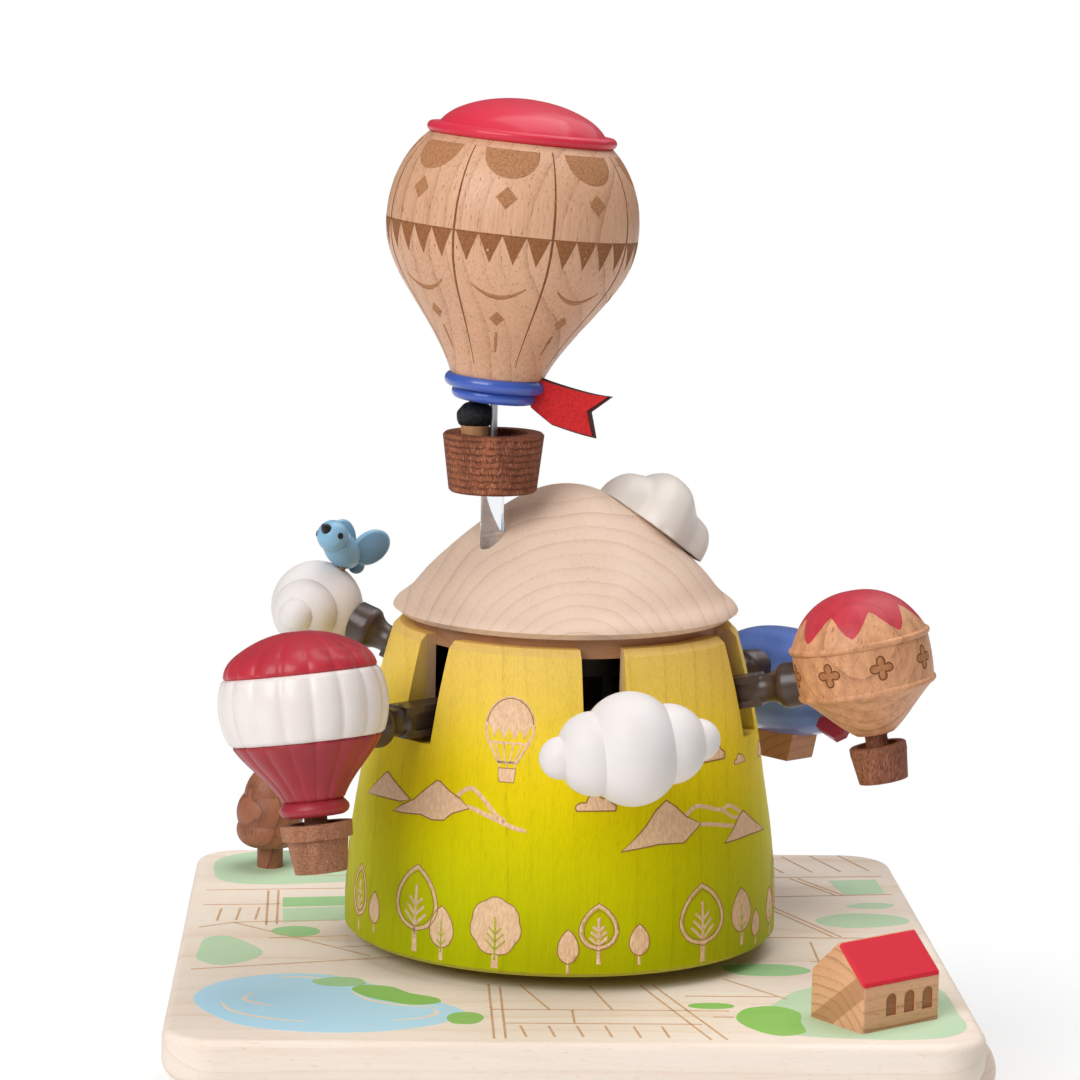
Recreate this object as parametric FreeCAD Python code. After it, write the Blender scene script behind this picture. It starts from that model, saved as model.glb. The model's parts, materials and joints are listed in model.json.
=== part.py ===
import FreeCAD, Part
import math
import os
from FreeCAD import Rotation, Vector

# Wooden carousel music box: a square base with a spring-driven comb movement
# turns a slotted drum. Six hinged arms reach out through the slots and ride up
# and down over a wavy cam as the drum goes round. All sizes in millimetres.
# Origin: centre of the resting plane under the base. +Z up, front towards -Y.

# Base
foot_height = 2.0
foot_radius = 6.0
foot_taper = 0.8
foot_inset = 11.0
box_height = 40.0
box_inset = 9.0
box_wall = 10.0
box_corner_radius = 10.0
cover_thickness = 3.0
cover_ledge = 7.0
cover_gap = 0.2
screw_radius = 1.5
screw_head_radius = 2.8
screw_head_height = 1.8
screw_length = 11.0
screw_pitch_from_centre = 45.0

# Board
board_side = 180.0
board_thickness = 12.0
board_corner_radius = 12.0
board_top_round = 2.0
board_bottom_round = 5.5

# Drum
drum_gap = 4.0
drum_base_radius = 51.1
drum_top_radius = 40.6
drum_height = 72.8
drum_edge_round = 1.0
drum_chamfer = 1.6
drum_bore_radius = 36.0
slot_width = 10.0
slot_depth = 23.3
slot_overcut = 1.0
first_slot_azimuth = 9.5
arm_count = 6

# Top disc and dome
disc_thickness = 4.8
disc_show = 2.2
dome_radius = 40.6
dome_height = 30.3

# Drive
shaft_radius = 3.0
shaft_foot_clearance = 3.0
bush_wall = 3.0
bush_flange = 2.0
bush_flange_radius = 8.5
running_clearance = 0.05
collar_radius = 5.4
collar_height = 2.0
shaft_end_seat = 6.0
knob_shaft_radius = 2.0
knob_radius = 9.8
knob_neck_radius = 5.0
knob_neck_round = 0.5
knob_centre = 14.6
knob_shaft_seat = 12.0
knob_gap = 0.6

# Gears
bevel_module = 1.0
bevel_pinion_teeth = 16
bevel_wheel_teeth = 24
bevel_face = 4.5
pinion_hub_radius = 4.0
pinion_hub_length = 2.0
drum_gear_hub_radius = 6.0
drum_gear_hub_length = 4.0
great_wheel_teeth = 36
cylinder_pinion_teeth = 19
spur_face = 2.5
governor_module = 0.4
cylinder_wheel_teeth = 48
governor_pinion_teeth = 8
governor_face = 1.6
gear_backlash = 0.12
tooth_top = 0.85
tooth_root = 1.15
tooth_top_share = 0.13
tooth_root_share = 0.34
tooth_bite = 0.2
bevel_back_height = 1.2

# Movement
bedplate_thickness = 3.5
bedplate_post_width = 9.0
bedplate_post_thickness = 2.5
bedplate_post_drop = 4.0
bedplate_margin = 1.0
wheel_to_bedplate = 1.12
wheel_to_cover = 2.22
pinion_to_post = 4.162
side_gap = 1.0
wheel_gap = 0.6
right_post_gap = 2.0
barrel_to_wall = 6.0
barrel_radius = 12.2
barrel_length = 14.0
barrel_lip = 0.6
barrel_lip_width = 2.4
cylinder_radius = 7.0
pin_radius = 0.3
pin_height = 0.8
pin_root = 0.5
note_count = 18
comb_thickness = 1.2
comb_tooth_gap = 0.45
comb_base = 7.0
comb_short_tooth = 11.0
comb_long_tooth = 17.0
comb_clearance = 0.35
arbor_radius = 1.5
governor_angle = 45.0
governor_arbor_radius = 0.8
worm_wheel_thickness = 2.0
worm_wheel_to_post = 3.6
worm_wheel_gap = 1.78
worm_radius = 1.5
worm_length = 8.0
worm_gap = 0.3
fly_radius = 4.5
fly_height = 11.0
fly_thickness = 0.8
fly_rise = 5.0
fly_spindle_radius = 0.7
fly_spindle_end = 2.0
frame_wall = 1.5
frame_lug = 1.4
frame_lug_rise = 2.5
frame_half_width = 5.0
frame_reach = 3.0
frame_to_fly = 1.0
frame_to_cover = 1.1

# Cam and arm carrier
cam_outer_radius = 31.0
cam_wall = 3.0
cam_floor = 3.0
cam_valley_depth = 4.2
cam_valley_width = 30.0
cam_valley_azimuths = (-20.0, 145.0)
cam_clearance = 0.4
pivot_radius = 21.0
pivot_below_top = 18.3
pivot_pin_radius = 1.2
carrier_radius = 27.0
carrier_drop = 10.0
ear_thickness = 2.5
ear_half_length = 4.0
ear_gap = 0.2

# Arms
arm_height = 7.2
arm_width = 6.4
pocket_depth = 1.0
pocket_border = 1.6
pocket_from_eye = 3.0
pocket_from_neck = 1.5
socket_radius = 5.3
socket_length = 3.4
socket_bite = 1.4
flare_length = 5.0
flare_root = 1.0
spigot_radius = 1.8
spigot_reach = 5.0
arm_low = -1.0
front_tilt = 1.7
right_tilt = 12.0
airship_tilt = -0.5
rear_tilt = 8.5
bird_tilt = 24.5
striped_tilt = 0.4

# Turned clouds
cloud_length = 40.7
cloud_radius = 12.65
front_cloud_reach = 46.4
front_cloud_roll = 6.0
rear_cloud_reach = 46.4
bird_cloud_size = 0.885
bird_cloud_reach = 45.0
bird_cloud_drop = 1.5
dome_cloud_size = 0.78
dome_cloud_radius = 25.0
dome_cloud_azimuth = 118.0
dome_cloud_sink = 0.6
dome_cloud_span = 6.0

# Bird
bird_radius = 3.9
bird_length = 12.5
bird_head_radius = 3.6
bird_tail_radius = 2.0
bird_wing_length = 9.6
bird_wing_width = 6.4
bird_wing_thickness = 1.4
bird_wing_root = 1.0
bird_wing_spread = 62.0
bird_wing_pitch = 22.0
bird_wing_sweep = 24.0
bird_body_pitch = 18.0
bird_beak_tip = 0.3
bird_beak_root = 0.4
bird_peg_start = 1.5
bird_beak_radius = 1.2
bird_beak_length = 2.2
bird_peg_radius = 1.0
bird_peg_seat = 3.0
bird_reach = 43.6
bird_lift = 15.4
bird_heading = 45.0

# Mast and main balloon
mast_x = -18.1
mast_y = -13.6
rod_radius = 2.7
rod_seat_depth = 12.0
rod_free_length = 11.2
basket_height = 13.6
basket_top_radius = 11.7
basket_bottom_radius = 10.2
basket_wall = 3.7
basket_floor = 4.5
basket_rim_round = 0.5
mast_pin_radius = 0.85
mast_pin_free_length = 7.4
mast_pin_seat = 3.0
ring_radius = 11.9
ring_height = 5.7
main_radius = 28.9
main_lean = 5.0
main_neck_to_centre = 41.0
cap_radius = 21.7
cap_seat = 18.8
cap_bead = 1.25
cap_height = 9.4
pennant_seat = 3.2
pennant_length = 18.5
pennant_height = 9.5
pennant_notch = 3.0
pennant_tail_slant = 1.0
pennant_level = 0.75
pennant_thickness = 1.8
pennant_droop = 17.0
pennant_turn = -22.0

# Passenger
passenger_radius = 3.3
passenger_offset = (-4.3, 1.6)
hair_radius = 4.3
hair_height = 5.4
hair_pin_gap = 0.1
brow_rise = 1.5
passenger_neck_drop = 3.0
passenger_neck_height = 1.2

# Striped balloon
striped_radius = 19.1
striped_reach = 56.3
striped_lift = 6.7
striped_roll = 11.0
striped_cap_seat = 7.1
striped_cap_height = 9.3
striped_widest = -1.0
striped_cone_seat = -7.8
striped_cone_length = 13.8
striped_neck_height = 3.3
striped_stem_length = 1.6
striped_basket_radius = 8.1
striped_basket_height = 11.0
striped_rim_height = 3.4
striped_basket_hollow = 1.2
stem_radius = 2.6

# Wooden balloon
wooden_radius = 16.2
wooden_reach = 52.7
wooden_lift = 4.5
wooden_top = 14.9
wooden_upper_bead = 3.6
wooden_lower_bead = -7.4
wooden_bead_half = 0.8
wooden_belly = -2.0
wooden_neck = -18.2
wooden_stem_length = 2.7
wooden_basket_radius = 6.6
wooden_basket_height = 8.5
wooden_rim_height = 2.0
wooden_rim_round = 0.3
wooden_basket_hollow = 0.8

# Airship
airship_radius = 13.4
airship_length = 52.0
airship_reach = 55.3
airship_lift = -4.2
gondola_width = 9.0
gondola_length = 12.5
gondola_height = 7.0
fin_thickness = 2.0
fin_sweep = 2.0
fin_overhang = 1.5

# Tree and house
tree_from_left = 19.1
tree_from_back = 19.3
tree_height = 26.5
tree_radius = 8.6
tree_trunk_radius = 3.3
tree_peg_radius = 2.0
tree_peg_length = 6.0
house_from_right = 23.2
house_from_front = 22.5
house_turn = 34.9
house_length = 22.8
house_width = 17.3
house_eave = 11.0
house_ridge = 18.9
window_width = 3.2
window_height = 5.0
window_depth = 0.5
window_pitch = 5.4
window_shift = 2.4
house_round = 0.7

# Levels that follow from the sizes above
box_bottom = foot_height
board_bottom = box_bottom + box_height
board_top = board_bottom + board_thickness
drum_bottom = board_top + drum_gap
drum_top = drum_bottom + drum_height
dome_bottom = drum_top + disc_show
disc_bottom = dome_bottom - disc_thickness
pivot_level = drum_top - pivot_below_top
box_half = board_side / 2 - box_inset
box_inner_half = box_half - box_wall
tree_place = (tree_from_left - board_side / 2, board_side / 2 - tree_from_back)
house_place = (board_side / 2 - house_from_right, house_from_front - board_side / 2)
cover_top = box_bottom + cover_thickness
bedplate_bottom = board_bottom - bedplate_thickness
great_wheel_radius = (bedplate_bottom - wheel_to_bedplate - cover_top - wheel_to_cover) / 2
knob_axis = cover_top + wheel_to_cover + great_wheel_radius
spur_module = great_wheel_radius / (great_wheel_teeth / 2 + tooth_top)

same_level = 1e-6
Z_AXIS = Vector(0, 0, 1)
X_AXIS = Vector(1, 0, 0)
Y_AXIS = Vector(0, 1, 0)


def outline(start, *steps):
    """Wire in the XZ plane. A step is a point, or a list of points to curve through."""
    edges = []
    here = Vector(start[0], 0, start[1])
    for step in steps:
        points = step if isinstance(step, list) else [step]
        vectors = [Vector(p[0], 0, p[1]) for p in points]
        there = vectors[-1]
        if len(vectors) == 1:
            edges.append(Part.LineSegment(here, there).toShape())
        elif len(vectors) == 2:
            edges.append(Part.Arc(here, vectors[0], there).toShape())
        else:
            curve = Part.BSplineCurve()
            curve.interpolate([here] + vectors)
            edges.append(curve.toShape())
        here = there
    closing = Vector(start[0], 0, start[1])
    if here.distanceToPoint(closing) > same_level:
        edges.append(Part.LineSegment(here, closing).toShape())
    return Part.Wire(edges)


def round_end(rim, tip):
    """Point between a rim and a tip on the axis, on the arc that is centred on the axis."""
    (r, z), t = rim, tip[1]
    centre = (t * t - z * z - r * r) / (2 * (t - z))
    radius = abs(t - centre)
    half_way = math.atan2(r, z - centre) / 2 if t > centre else math.pi - math.atan2(r, centre - z) / 2
    return (radius * math.sin(half_way), centre + radius * math.cos(half_way))


def lathe(start, *steps):
    """Solid turned about Z from an outline whose x is the radius."""
    return Part.Face(outline(start, *steps)).revolve(Vector(0, 0, 0), Z_AXIS, 360)


def rod_along(direction, radius, start, length):
    return Part.makeCylinder(radius, length, start, direction)


def block(x0, x1, y0, y1, z0, z1):
    return Part.makeBox(x1 - x0, y1 - y0, z1 - z0, Vector(x0, y0, z0))


def rounded_slab(half, corner_radius, z0, height):
    slab = block(-half, half, -half, half, z0, z0 + height)
    upright = [e for e in slab.Edges if abs(e.Vertexes[0].Z - e.Vertexes[1].Z) > height / 2]
    return slab.makeFillet(corner_radius, upright)


def rim_edges(solid, level):
    return [e for e in solid.Edges if all(abs(v.Z - level) < same_level for v in e.Vertexes)]


def fused(shapes):
    whole = shapes[0]
    if len(shapes) > 1:
        whole = shapes[0].multiFuse(shapes[1:]).removeSplitter()
    return whole


def turned(shape, axis, degrees, centre=Vector(0, 0, 0)):
    copy = shape.copy()
    copy.rotate(centre, axis, degrees)
    return copy


def moved(shape, x, y, z):
    copy = shape.copy()
    copy.translate(Vector(x, y, z))
    return copy


def outward(azimuth):
    """Unit vector away from the drum axis. Azimuth 0 is the front, +90 the right."""
    a = math.radians(azimuth)
    return Vector(math.sin(a), -math.cos(a), 0)


def board():
    slab = rounded_slab(board_side / 2, board_corner_radius, board_bottom, board_thickness)
    slab = slab.makeFillet(board_top_round, rim_edges(slab, board_top))
    slab = slab.makeFillet(board_bottom_round, rim_edges(slab, board_bottom))
    bush_hole = rod_along(Z_AXIS, shaft_radius + bush_wall, Vector(0, 0, board_bottom), board_thickness)
    tree_hole = rod_along(Z_AXIS, tree_peg_radius,
                          Vector(tree_place[0], tree_place[1], board_top - tree_peg_length), tree_peg_length)
    return slab.cut(bush_hole).cut(tree_hole)


def cover_screw_places():
    edge = box_inner_half + cover_ledge / 2
    p = screw_pitch_from_centre
    return [(edge, p), (-edge, p), (edge, -p), (-edge, -p)]


def base_box():
    walls = rounded_slab(box_half, box_corner_radius, box_bottom, box_height)
    room = block(-box_inner_half, box_inner_half, -box_inner_half, box_inner_half,
                 box_bottom, board_bottom)
    ledge_half = box_inner_half + cover_ledge
    ledge = block(-ledge_half, ledge_half, -ledge_half, ledge_half,
                  box_bottom, box_bottom + cover_thickness)
    bush_hole = rod_along(X_AXIS, knob_shaft_radius + bush_wall,
                          Vector(box_inner_half, 0, knob_axis), box_wall)
    walls = walls.cut(room).cut(ledge).cut(bush_hole)
    for x, y in cover_screw_places():
        walls = walls.cut(rod_along(Z_AXIS, screw_radius, Vector(x, y, box_bottom), screw_length))
    return walls


def bottom_cover():
    half = box_inner_half + cover_ledge - cover_gap
    plate = block(-half, half, -half, half, box_bottom, box_bottom + cover_thickness)
    for x, y in cover_screw_places():
        plate = plate.cut(screw_at(x, y))
    return plate


def screw_at(x, y):
    head = Part.makeCone(screw_head_radius, screw_radius, screw_head_height, Vector(x, y, box_bottom))
    body = rod_along(Z_AXIS, screw_radius, Vector(x, y, box_bottom), screw_length)
    return head.fuse(body).removeSplitter()


def cover_screws():
    return Part.makeCompound([screw_at(x, y) for x, y in cover_screw_places()])


def rubber_feet():
    reach = box_inner_half + cover_ledge - foot_inset
    feet = []
    for sx in (-1, 1):
        for sy in (-1, 1):
            foot = Part.makeCone(foot_radius - foot_taper, foot_radius, foot_height,
                                 Vector(sx * reach, sy * reach, 0))
            feet.append(foot)
    return Part.makeCompound(feet)


def shaft_bush():
    bore = shaft_radius + running_clearance
    wall = shaft_radius + bush_wall
    top = board_top + bush_flange
    return lathe((bore, board_bottom), (wall, board_bottom), (wall, board_top),
                 (bush_flange_radius, board_top), (bush_flange_radius, top), (bore, top))


def knob_bush():
    bore = knob_shaft_radius + running_clearance
    wall = knob_shaft_radius + bush_wall
    ring = lathe((bore, 0), (wall, 0), (wall, box_wall), (bore, box_wall))
    ring = turned(ring, Y_AXIS, 90)
    return moved(ring, box_inner_half, 0, knob_axis)


# Gears

def spur_gear(teeth, module, face, bore_radius):
    """Straight-flanked gear about Z with one tooth centred on +X."""
    pitch = teeth * module / 2
    root = pitch - tooth_root * module
    tip = pitch + tooth_top * module
    step = 2 * math.pi / teeth
    root_half = tooth_root_share * step - gear_backlash / 2 / pitch
    tip_half = tooth_top_share * step - gear_backlash / 2 / pitch
    points = []
    for i in range(teeth):
        a = i * step
        for radius, angle in ((root, -root_half), (tip, -tip_half), (tip, tip_half), (root, root_half)):
            points.append(Vector(radius * math.cos(a + angle), radius * math.sin(a + angle), 0))
    rim = Part.makePolygon(points + points[:1])
    gear = Part.Face(rim).extrude(Vector(0, 0, face))
    return gear.cut(rod_along(Z_AXIS, bore_radius, Vector(0, 0, 0), face))


def bevel_gear(teeth, other_teeth, bore_radius, hub_radius, hub_length):
    """Straight bevel gear about Z with its apex at the origin and its back at +Z."""
    pitch = teeth * bevel_module / 2
    depth = other_teeth * bevel_module / 2
    slant = math.hypot(pitch, depth)
    along = Vector(pitch / slant, 0, depth / slant)
    across = Vector(depth / slant, 0, -pitch / slant)
    inner = (slant - bevel_face) / slant
    step = 2 * math.pi / teeth
    body_root = across * (-tooth_root * bevel_module)
    outer_root = along * slant + body_root
    inner_root = outer_root * inner
    back = outer_root.z + hub_length
    blank = lathe((bore_radius, inner_root.z), (inner_root.x, inner_root.z),
                  (outer_root.x, outer_root.z), (hub_radius, outer_root.z + bevel_back_height),
                  (hub_radius, back), (bore_radius, back))
    root_half = (tooth_root_share * step * pitch - gear_backlash / 2) * 0.9
    tip_half = tooth_top_share * step * pitch
    tooth_foot = along * slant + across * (-(tooth_root + tooth_bite) * bevel_module)
    tooth_tip = along * slant + across * (tooth_top * bevel_module)
    outer_wire = Part.makePolygon([tooth_foot + Vector(0, -root_half, 0), tooth_tip + Vector(0, -tip_half, 0),
                                   tooth_tip + Vector(0, tip_half, 0), tooth_foot + Vector(0, root_half, 0),
                                   tooth_foot + Vector(0, -root_half, 0)])
    inner_wire = outer_wire.copy()
    inner_wire.scale(inner, Vector(0, 0, 0))
    tooth = Part.makeLoft([inner_wire, outer_wire], True, True)
    teeth_around = [turned(tooth, Z_AXIS, 360.0 * i / teeth) for i in range(teeth)]
    return fused([blank] + teeth_around)


# Places of the movement along the winding shaft
pinion_cone_depth = bevel_wheel_teeth * bevel_module / 2
wheel_cone_depth = bevel_pinion_teeth * bevel_module / 2
spur_distance = (great_wheel_teeth + cylinder_pinion_teeth) * spur_module / 2
cylinder_y = -spur_distance
governor_distance = (cylinder_wheel_teeth + governor_pinion_teeth) * governor_module / 2
governor_y = cylinder_y - governor_distance * math.cos(math.radians(governor_angle))
governor_z = knob_axis - governor_distance * math.sin(math.radians(governor_angle))
fly_bottom = cover_top + frame_to_cover + frame_wall
fly_top = governor_z + fly_rise + fly_height + fly_spindle_end
worm_wheel_radius = governor_z - worm_wheel_gap - fly_bottom
worm_y = governor_y - worm_wheel_radius - worm_radius - worm_gap
bevel_slant = math.hypot(pinion_cone_depth, wheel_cone_depth)
pinion_back = pinion_cone_depth + tooth_root * bevel_module * wheel_cone_depth / bevel_slant + pinion_hub_length
barrel_end = box_inner_half - barrel_to_wall
barrel_start = barrel_end - barrel_length
great_wheel_x = barrel_start - spur_face
left_post_x = pinion_back + pinion_to_post
cylinder_wheel_x = left_post_x + bedplate_post_thickness + side_gap
cylinder_start = cylinder_wheel_x + governor_face + wheel_gap
cylinder_end = great_wheel_x - side_gap
cylinder_length = cylinder_end - cylinder_start
right_post_x = great_wheel_x + spur_face + right_post_gap
barrel_post_x = barrel_end + side_gap
worm_wheel_x = left_post_x - worm_wheel_to_post
worm_x = worm_wheel_x + worm_wheel_thickness / 2


def along_x(shape, x, y, z):
    """Turn a shape built about Z so that it lies along X, starting at x."""
    return moved(turned(shape, Y_AXIS, 90), x, y, z)


def winding_shaft():
    start = pinion_cone_depth * (1 - bevel_face / bevel_slant)
    end = box_half + knob_gap + knob_shaft_seat
    return rod_along(X_AXIS, knob_shaft_radius, Vector(start, 0, knob_axis), end - start)


def winding_knob():
    """Turned wooden ball on a short neck, bored for the end of the winding shaft."""
    ball_start = knob_centre - math.sqrt(knob_radius ** 2 - knob_neck_radius ** 2)
    knob = lathe((0, 0), (knob_neck_radius - knob_neck_round, 0), (knob_neck_radius, knob_neck_round),
                 (knob_neck_radius, ball_start),
                 [(knob_radius, knob_centre), (0, knob_centre + knob_radius)])
    knob = knob.cut(rod_along(Z_AXIS, knob_shaft_radius, Vector(0, 0, 0), knob_shaft_seat))
    return along_x(knob, box_half + knob_gap, 0, knob_axis)


def drive_pinion():
    gear = bevel_gear(bevel_pinion_teeth, bevel_wheel_teeth, knob_shaft_radius, pinion_hub_radius,
                      pinion_hub_length)
    return moved(turned(gear, Y_AXIS, 90), 0, 0, knob_axis)


def drum_gear():
    gear = bevel_gear(bevel_wheel_teeth, bevel_pinion_teeth, shaft_radius, drum_gear_hub_radius,
                      drum_gear_hub_length)
    half_tooth = 180.0 / bevel_wheel_teeth
    return moved(turned(gear, Z_AXIS, half_tooth), 0, 0, knob_axis)


def great_wheel():
    gear = spur_gear(great_wheel_teeth, spur_module, spur_face, knob_shaft_radius)
    return along_x(turned(gear, Z_AXIS, 90), great_wheel_x, 0, knob_axis)


def spring_barrel():
    lip = barrel_lip
    shoulder = barrel_length - lip
    lid_radius = barrel_radius - barrel_lip_width
    case = lathe((knob_shaft_radius, 0), (barrel_radius - lip, 0), (barrel_radius, lip),
                 (barrel_radius, shoulder - lip), (barrel_radius - lip, shoulder), (lid_radius, shoulder),
                 (lid_radius, barrel_length), (knob_shaft_radius, barrel_length))
    return along_x(case, barrel_start, 0, knob_axis)


def cylinder_pinion():
    gear = spur_gear(cylinder_pinion_teeth, spur_module, spur_face, arbor_radius)
    quarter_turn = 90.0
    half_tooth = 180.0 / cylinder_pinion_teeth
    return along_x(turned(gear, Z_AXIS, quarter_turn + half_tooth), great_wheel_x, cylinder_y, knob_axis)


def pinned_cylinder():
    tube = lathe((arbor_radius, 0), (cylinder_radius, 0), (cylinder_radius, cylinder_length),
                 (arbor_radius, cylinder_length))
    pitch = cylinder_length / note_count
    pins = []
    for note in range(note_count):
        for turn in (0, 1):
            angle = (note * 137.5 + turn * 163.0) % 360
            height = (note + 0.5) * pitch
            foot = cylinder_radius - pin_root
            pin = rod_along(X_AXIS, pin_radius, Vector(foot, 0, height), pin_height + pin_root)
            pins.append(turned(pin, Z_AXIS, angle))
    return along_x(fused([tube] + pins), cylinder_start, cylinder_y, knob_axis)


def cylinder_wheel():
    gear = spur_gear(cylinder_wheel_teeth, governor_module, governor_face, arbor_radius)
    return along_x(gear, cylinder_wheel_x, cylinder_y, knob_axis)


def cylinder_arbor():
    start = left_post_x
    end = right_post_x + bedplate_post_thickness
    return rod_along(X_AXIS, arbor_radius, Vector(start, cylinder_y, knob_axis), end - start)


def governor_wheel():
    arbor_start = worm_wheel_x - side_gap - frame_lug
    arbor = rod_along(Z_AXIS, governor_arbor_radius, Vector(0, 0, arbor_start),
                      cylinder_wheel_x + governor_face - arbor_start)
    wheel = rod_along(Z_AXIS, worm_wheel_radius, Vector(0, 0, worm_wheel_x), worm_wheel_thickness)
    pinion = spur_gear(governor_pinion_teeth, governor_module, governor_face, governor_arbor_radius / 2)
    half_tooth = 180.0 / governor_pinion_teeth
    pinion = moved(turned(pinion, Z_AXIS, half_tooth), 0, 0, cylinder_wheel_x)
    return along_x(fused([arbor, wheel, pinion]), 0, governor_y, governor_z)


def fly():
    """Fan of the governor: a thin blade on a spindle, with the worm below it."""
    spindle = rod_along(Z_AXIS, fly_spindle_radius, Vector(worm_x, worm_y, fly_bottom), fly_top - fly_bottom)
    worm = rod_along(Z_AXIS, worm_radius, Vector(worm_x, worm_y, governor_z - worm_length / 2), worm_length)
    half = fly_thickness / 2
    blade_bottom = governor_z + fly_rise
    blade = block(worm_x - fly_radius, worm_x + fly_radius, worm_y - half, worm_y + half,
                  blade_bottom, blade_bottom + fly_height)
    return fused([spindle, worm, blade])


def governor_frame():
    """Bent frame that holds the fan's spindle above and below and the worm wheel's arbor between lugs."""
    under = fly_bottom - frame_wall
    back = worm_y - fly_radius - frame_to_fly
    x0 = worm_x - frame_half_width
    x1 = worm_x + frame_half_width
    front = governor_y + frame_reach
    plate = block(x0, x1, back - frame_wall, back, under, bedplate_bottom)
    floor = block(x0, x1, back, front, under, fly_bottom)
    roof = block(x0, x1, back, worm_y + 2 * worm_radius, fly_top, fly_top + frame_wall)
    lugs = []
    for x in (worm_wheel_x - side_gap - frame_lug, worm_wheel_x + worm_wheel_thickness + side_gap):
        lugs.append(block(x, x + frame_lug, governor_y - frame_reach, front, under,
                          governor_z + frame_lug_rise))
    frame = fused([plate, floor, roof] + lugs)
    hole = rod_along(X_AXIS, governor_arbor_radius + running_clearance, Vector(0, governor_y, governor_z),
                     great_wheel_x)
    return frame.cut(hole)


def bedplate():
    under = bedplate_bottom
    front = comb_root_y() - comb_base - bedplate_margin
    left = worm_x - frame_half_width - bedplate_margin
    plate = block(left, barrel_post_x + bedplate_post_thickness, front, barrel_radius, under, board_bottom)
    half = bedplate_post_width / 2
    low = knob_axis - bedplate_post_drop
    posts = []
    for x, y in ((left_post_x, cylinder_y), (right_post_x, cylinder_y),
                 (left_post_x, 0), (barrel_post_x, 0)):
        posts.append(block(x, x + bedplate_post_thickness, y - half, y + half, low, under))
    anvil_back = comb_root_y()
    anvil = block(cylinder_start, cylinder_end, anvil_back - comb_base, anvil_back,
                  knob_axis + comb_thickness / 2, under)
    body = fused([plate, anvil] + posts)
    shaft_hole = rod_along(X_AXIS, knob_shaft_radius + running_clearance, Vector(left, 0, knob_axis), box_half)
    arbor_hole = rod_along(X_AXIS, arbor_radius + running_clearance, Vector(left, cylinder_y, knob_axis),
                           box_half)
    return body.cut(shaft_hole).cut(arbor_hole)


def comb_root_y():
    return cylinder_y - cylinder_radius - pin_height - comb_clearance - comb_long_tooth


def comb():
    """Steel comb: one tooth per note, the low notes long and the high ones short."""
    root = comb_root_y()
    tip = root + comb_long_tooth
    pitch = cylinder_length / note_count
    points = [Vector(cylinder_start, root - comb_base, 0), Vector(cylinder_end, root - comb_base, 0)]
    for note in reversed(range(note_count)):
        share = note / (note_count - 1)
        tooth = comb_long_tooth + (comb_short_tooth - comb_long_tooth) * share
        x0 = cylinder_start + note * pitch + comb_tooth_gap / 2
        x1 = cylinder_start + (note + 1) * pitch - comb_tooth_gap / 2
        foot = tip - tooth
        points += [Vector(x1, foot, 0), Vector(x1, tip, 0), Vector(x0, tip, 0), Vector(x0, foot, 0)]
    points.append(Vector(cylinder_start, points[-1].y, 0))
    points.insert(2, Vector(cylinder_end, points[2].y, 0))
    plate = Part.Face(Part.makePolygon(points + points[:1])).extrude(Vector(0, 0, comb_thickness))
    return moved(plate, 0, 0, knob_axis - comb_thickness / 2)


# Drum and what turns with it

def drum_profile_points():
    """Outer radius of the drum against the height above its lower edge."""
    rise = (drum_base_radius - drum_top_radius)
    shares = ((0.0, 0.0), (0.18, 0.03), (0.37, 0.17), (0.53, 0.35), (0.63, 0.45), (0.85, 0.76), (1.0, 1.0))
    return [(drum_base_radius - rise * s, drum_height * t) for t, s in shares]


def drum_shell():
    points = drum_profile_points()
    lower = [(r, z + drum_bottom) for r, z in points]
    top_radius, top = lower[-1]
    wall = lower[1:-1] + [(top_radius, top - drum_chamfer)]
    shell = lathe((drum_bore_radius, drum_bottom), (drum_base_radius - drum_edge_round, drum_bottom),
                  (drum_base_radius, drum_bottom + drum_edge_round), wall,
                  (top_radius - drum_chamfer, top), (drum_bore_radius, top))
    for i in range(arm_count):
        slot = block(0, drum_base_radius + slot_overcut, -slot_width / 2, slot_width / 2, top - slot_depth,
                     top + slot_overcut)
        shell = shell.cut(turned(slot, Z_AXIS, first_slot_azimuth - 90 + i * 360.0 / arm_count))
    return shell


def top_disc():
    return lathe((shaft_radius, disc_bottom), (drum_bore_radius, disc_bottom), (drum_bore_radius, dome_bottom),
                 (shaft_radius, dome_bottom))


def dome_outline():
    """Dome radius and height above its brim, from the brim to the tip."""
    r = dome_radius
    h = dome_height
    return [(0.985 * r, 0.085 * h), (0.92 * r, 0.155 * h), (0.83 * r, 0.29 * h), (0.72 * r, 0.44 * h),
            (0.6 * r, 0.585 * h), (0.475 * r, 0.72 * h), (0.35 * r, 0.84 * h), (0.23 * r, 0.93 * h),
            (0.12 * r, 0.983 * h), (0, h)]


def dome_level(radius):
    """Height of the dome's surface at a radius from the axis."""
    points = dome_outline()
    for (r0, h0), (r1, h1) in zip(points, points[1:]):
        if r1 <= radius <= r0:
            return dome_bottom + h0 + (h1 - h0) * (r0 - radius) / (r0 - r1)
    return dome_bottom


def dome():
    outline_points = [(r, dome_bottom + h) for r, h in dome_outline()]
    brim_start = (0.95 * dome_radius, dome_bottom)
    brim_side = (dome_radius, dome_bottom + 0.05 * dome_height)
    solid = lathe((0, dome_bottom), brim_start, brim_side, outline_points)
    solid = solid.cut(rod_along(Z_AXIS, shaft_radius, Vector(0, 0, dome_bottom), shaft_end_seat))
    return solid.cut(rod_along(Z_AXIS, rod_radius, Vector(mast_x, mast_y, rod_foot()), dome_height))


def rod_foot():
    return dome_level(math.hypot(mast_x, mast_y)) - rod_seat_depth


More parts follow.
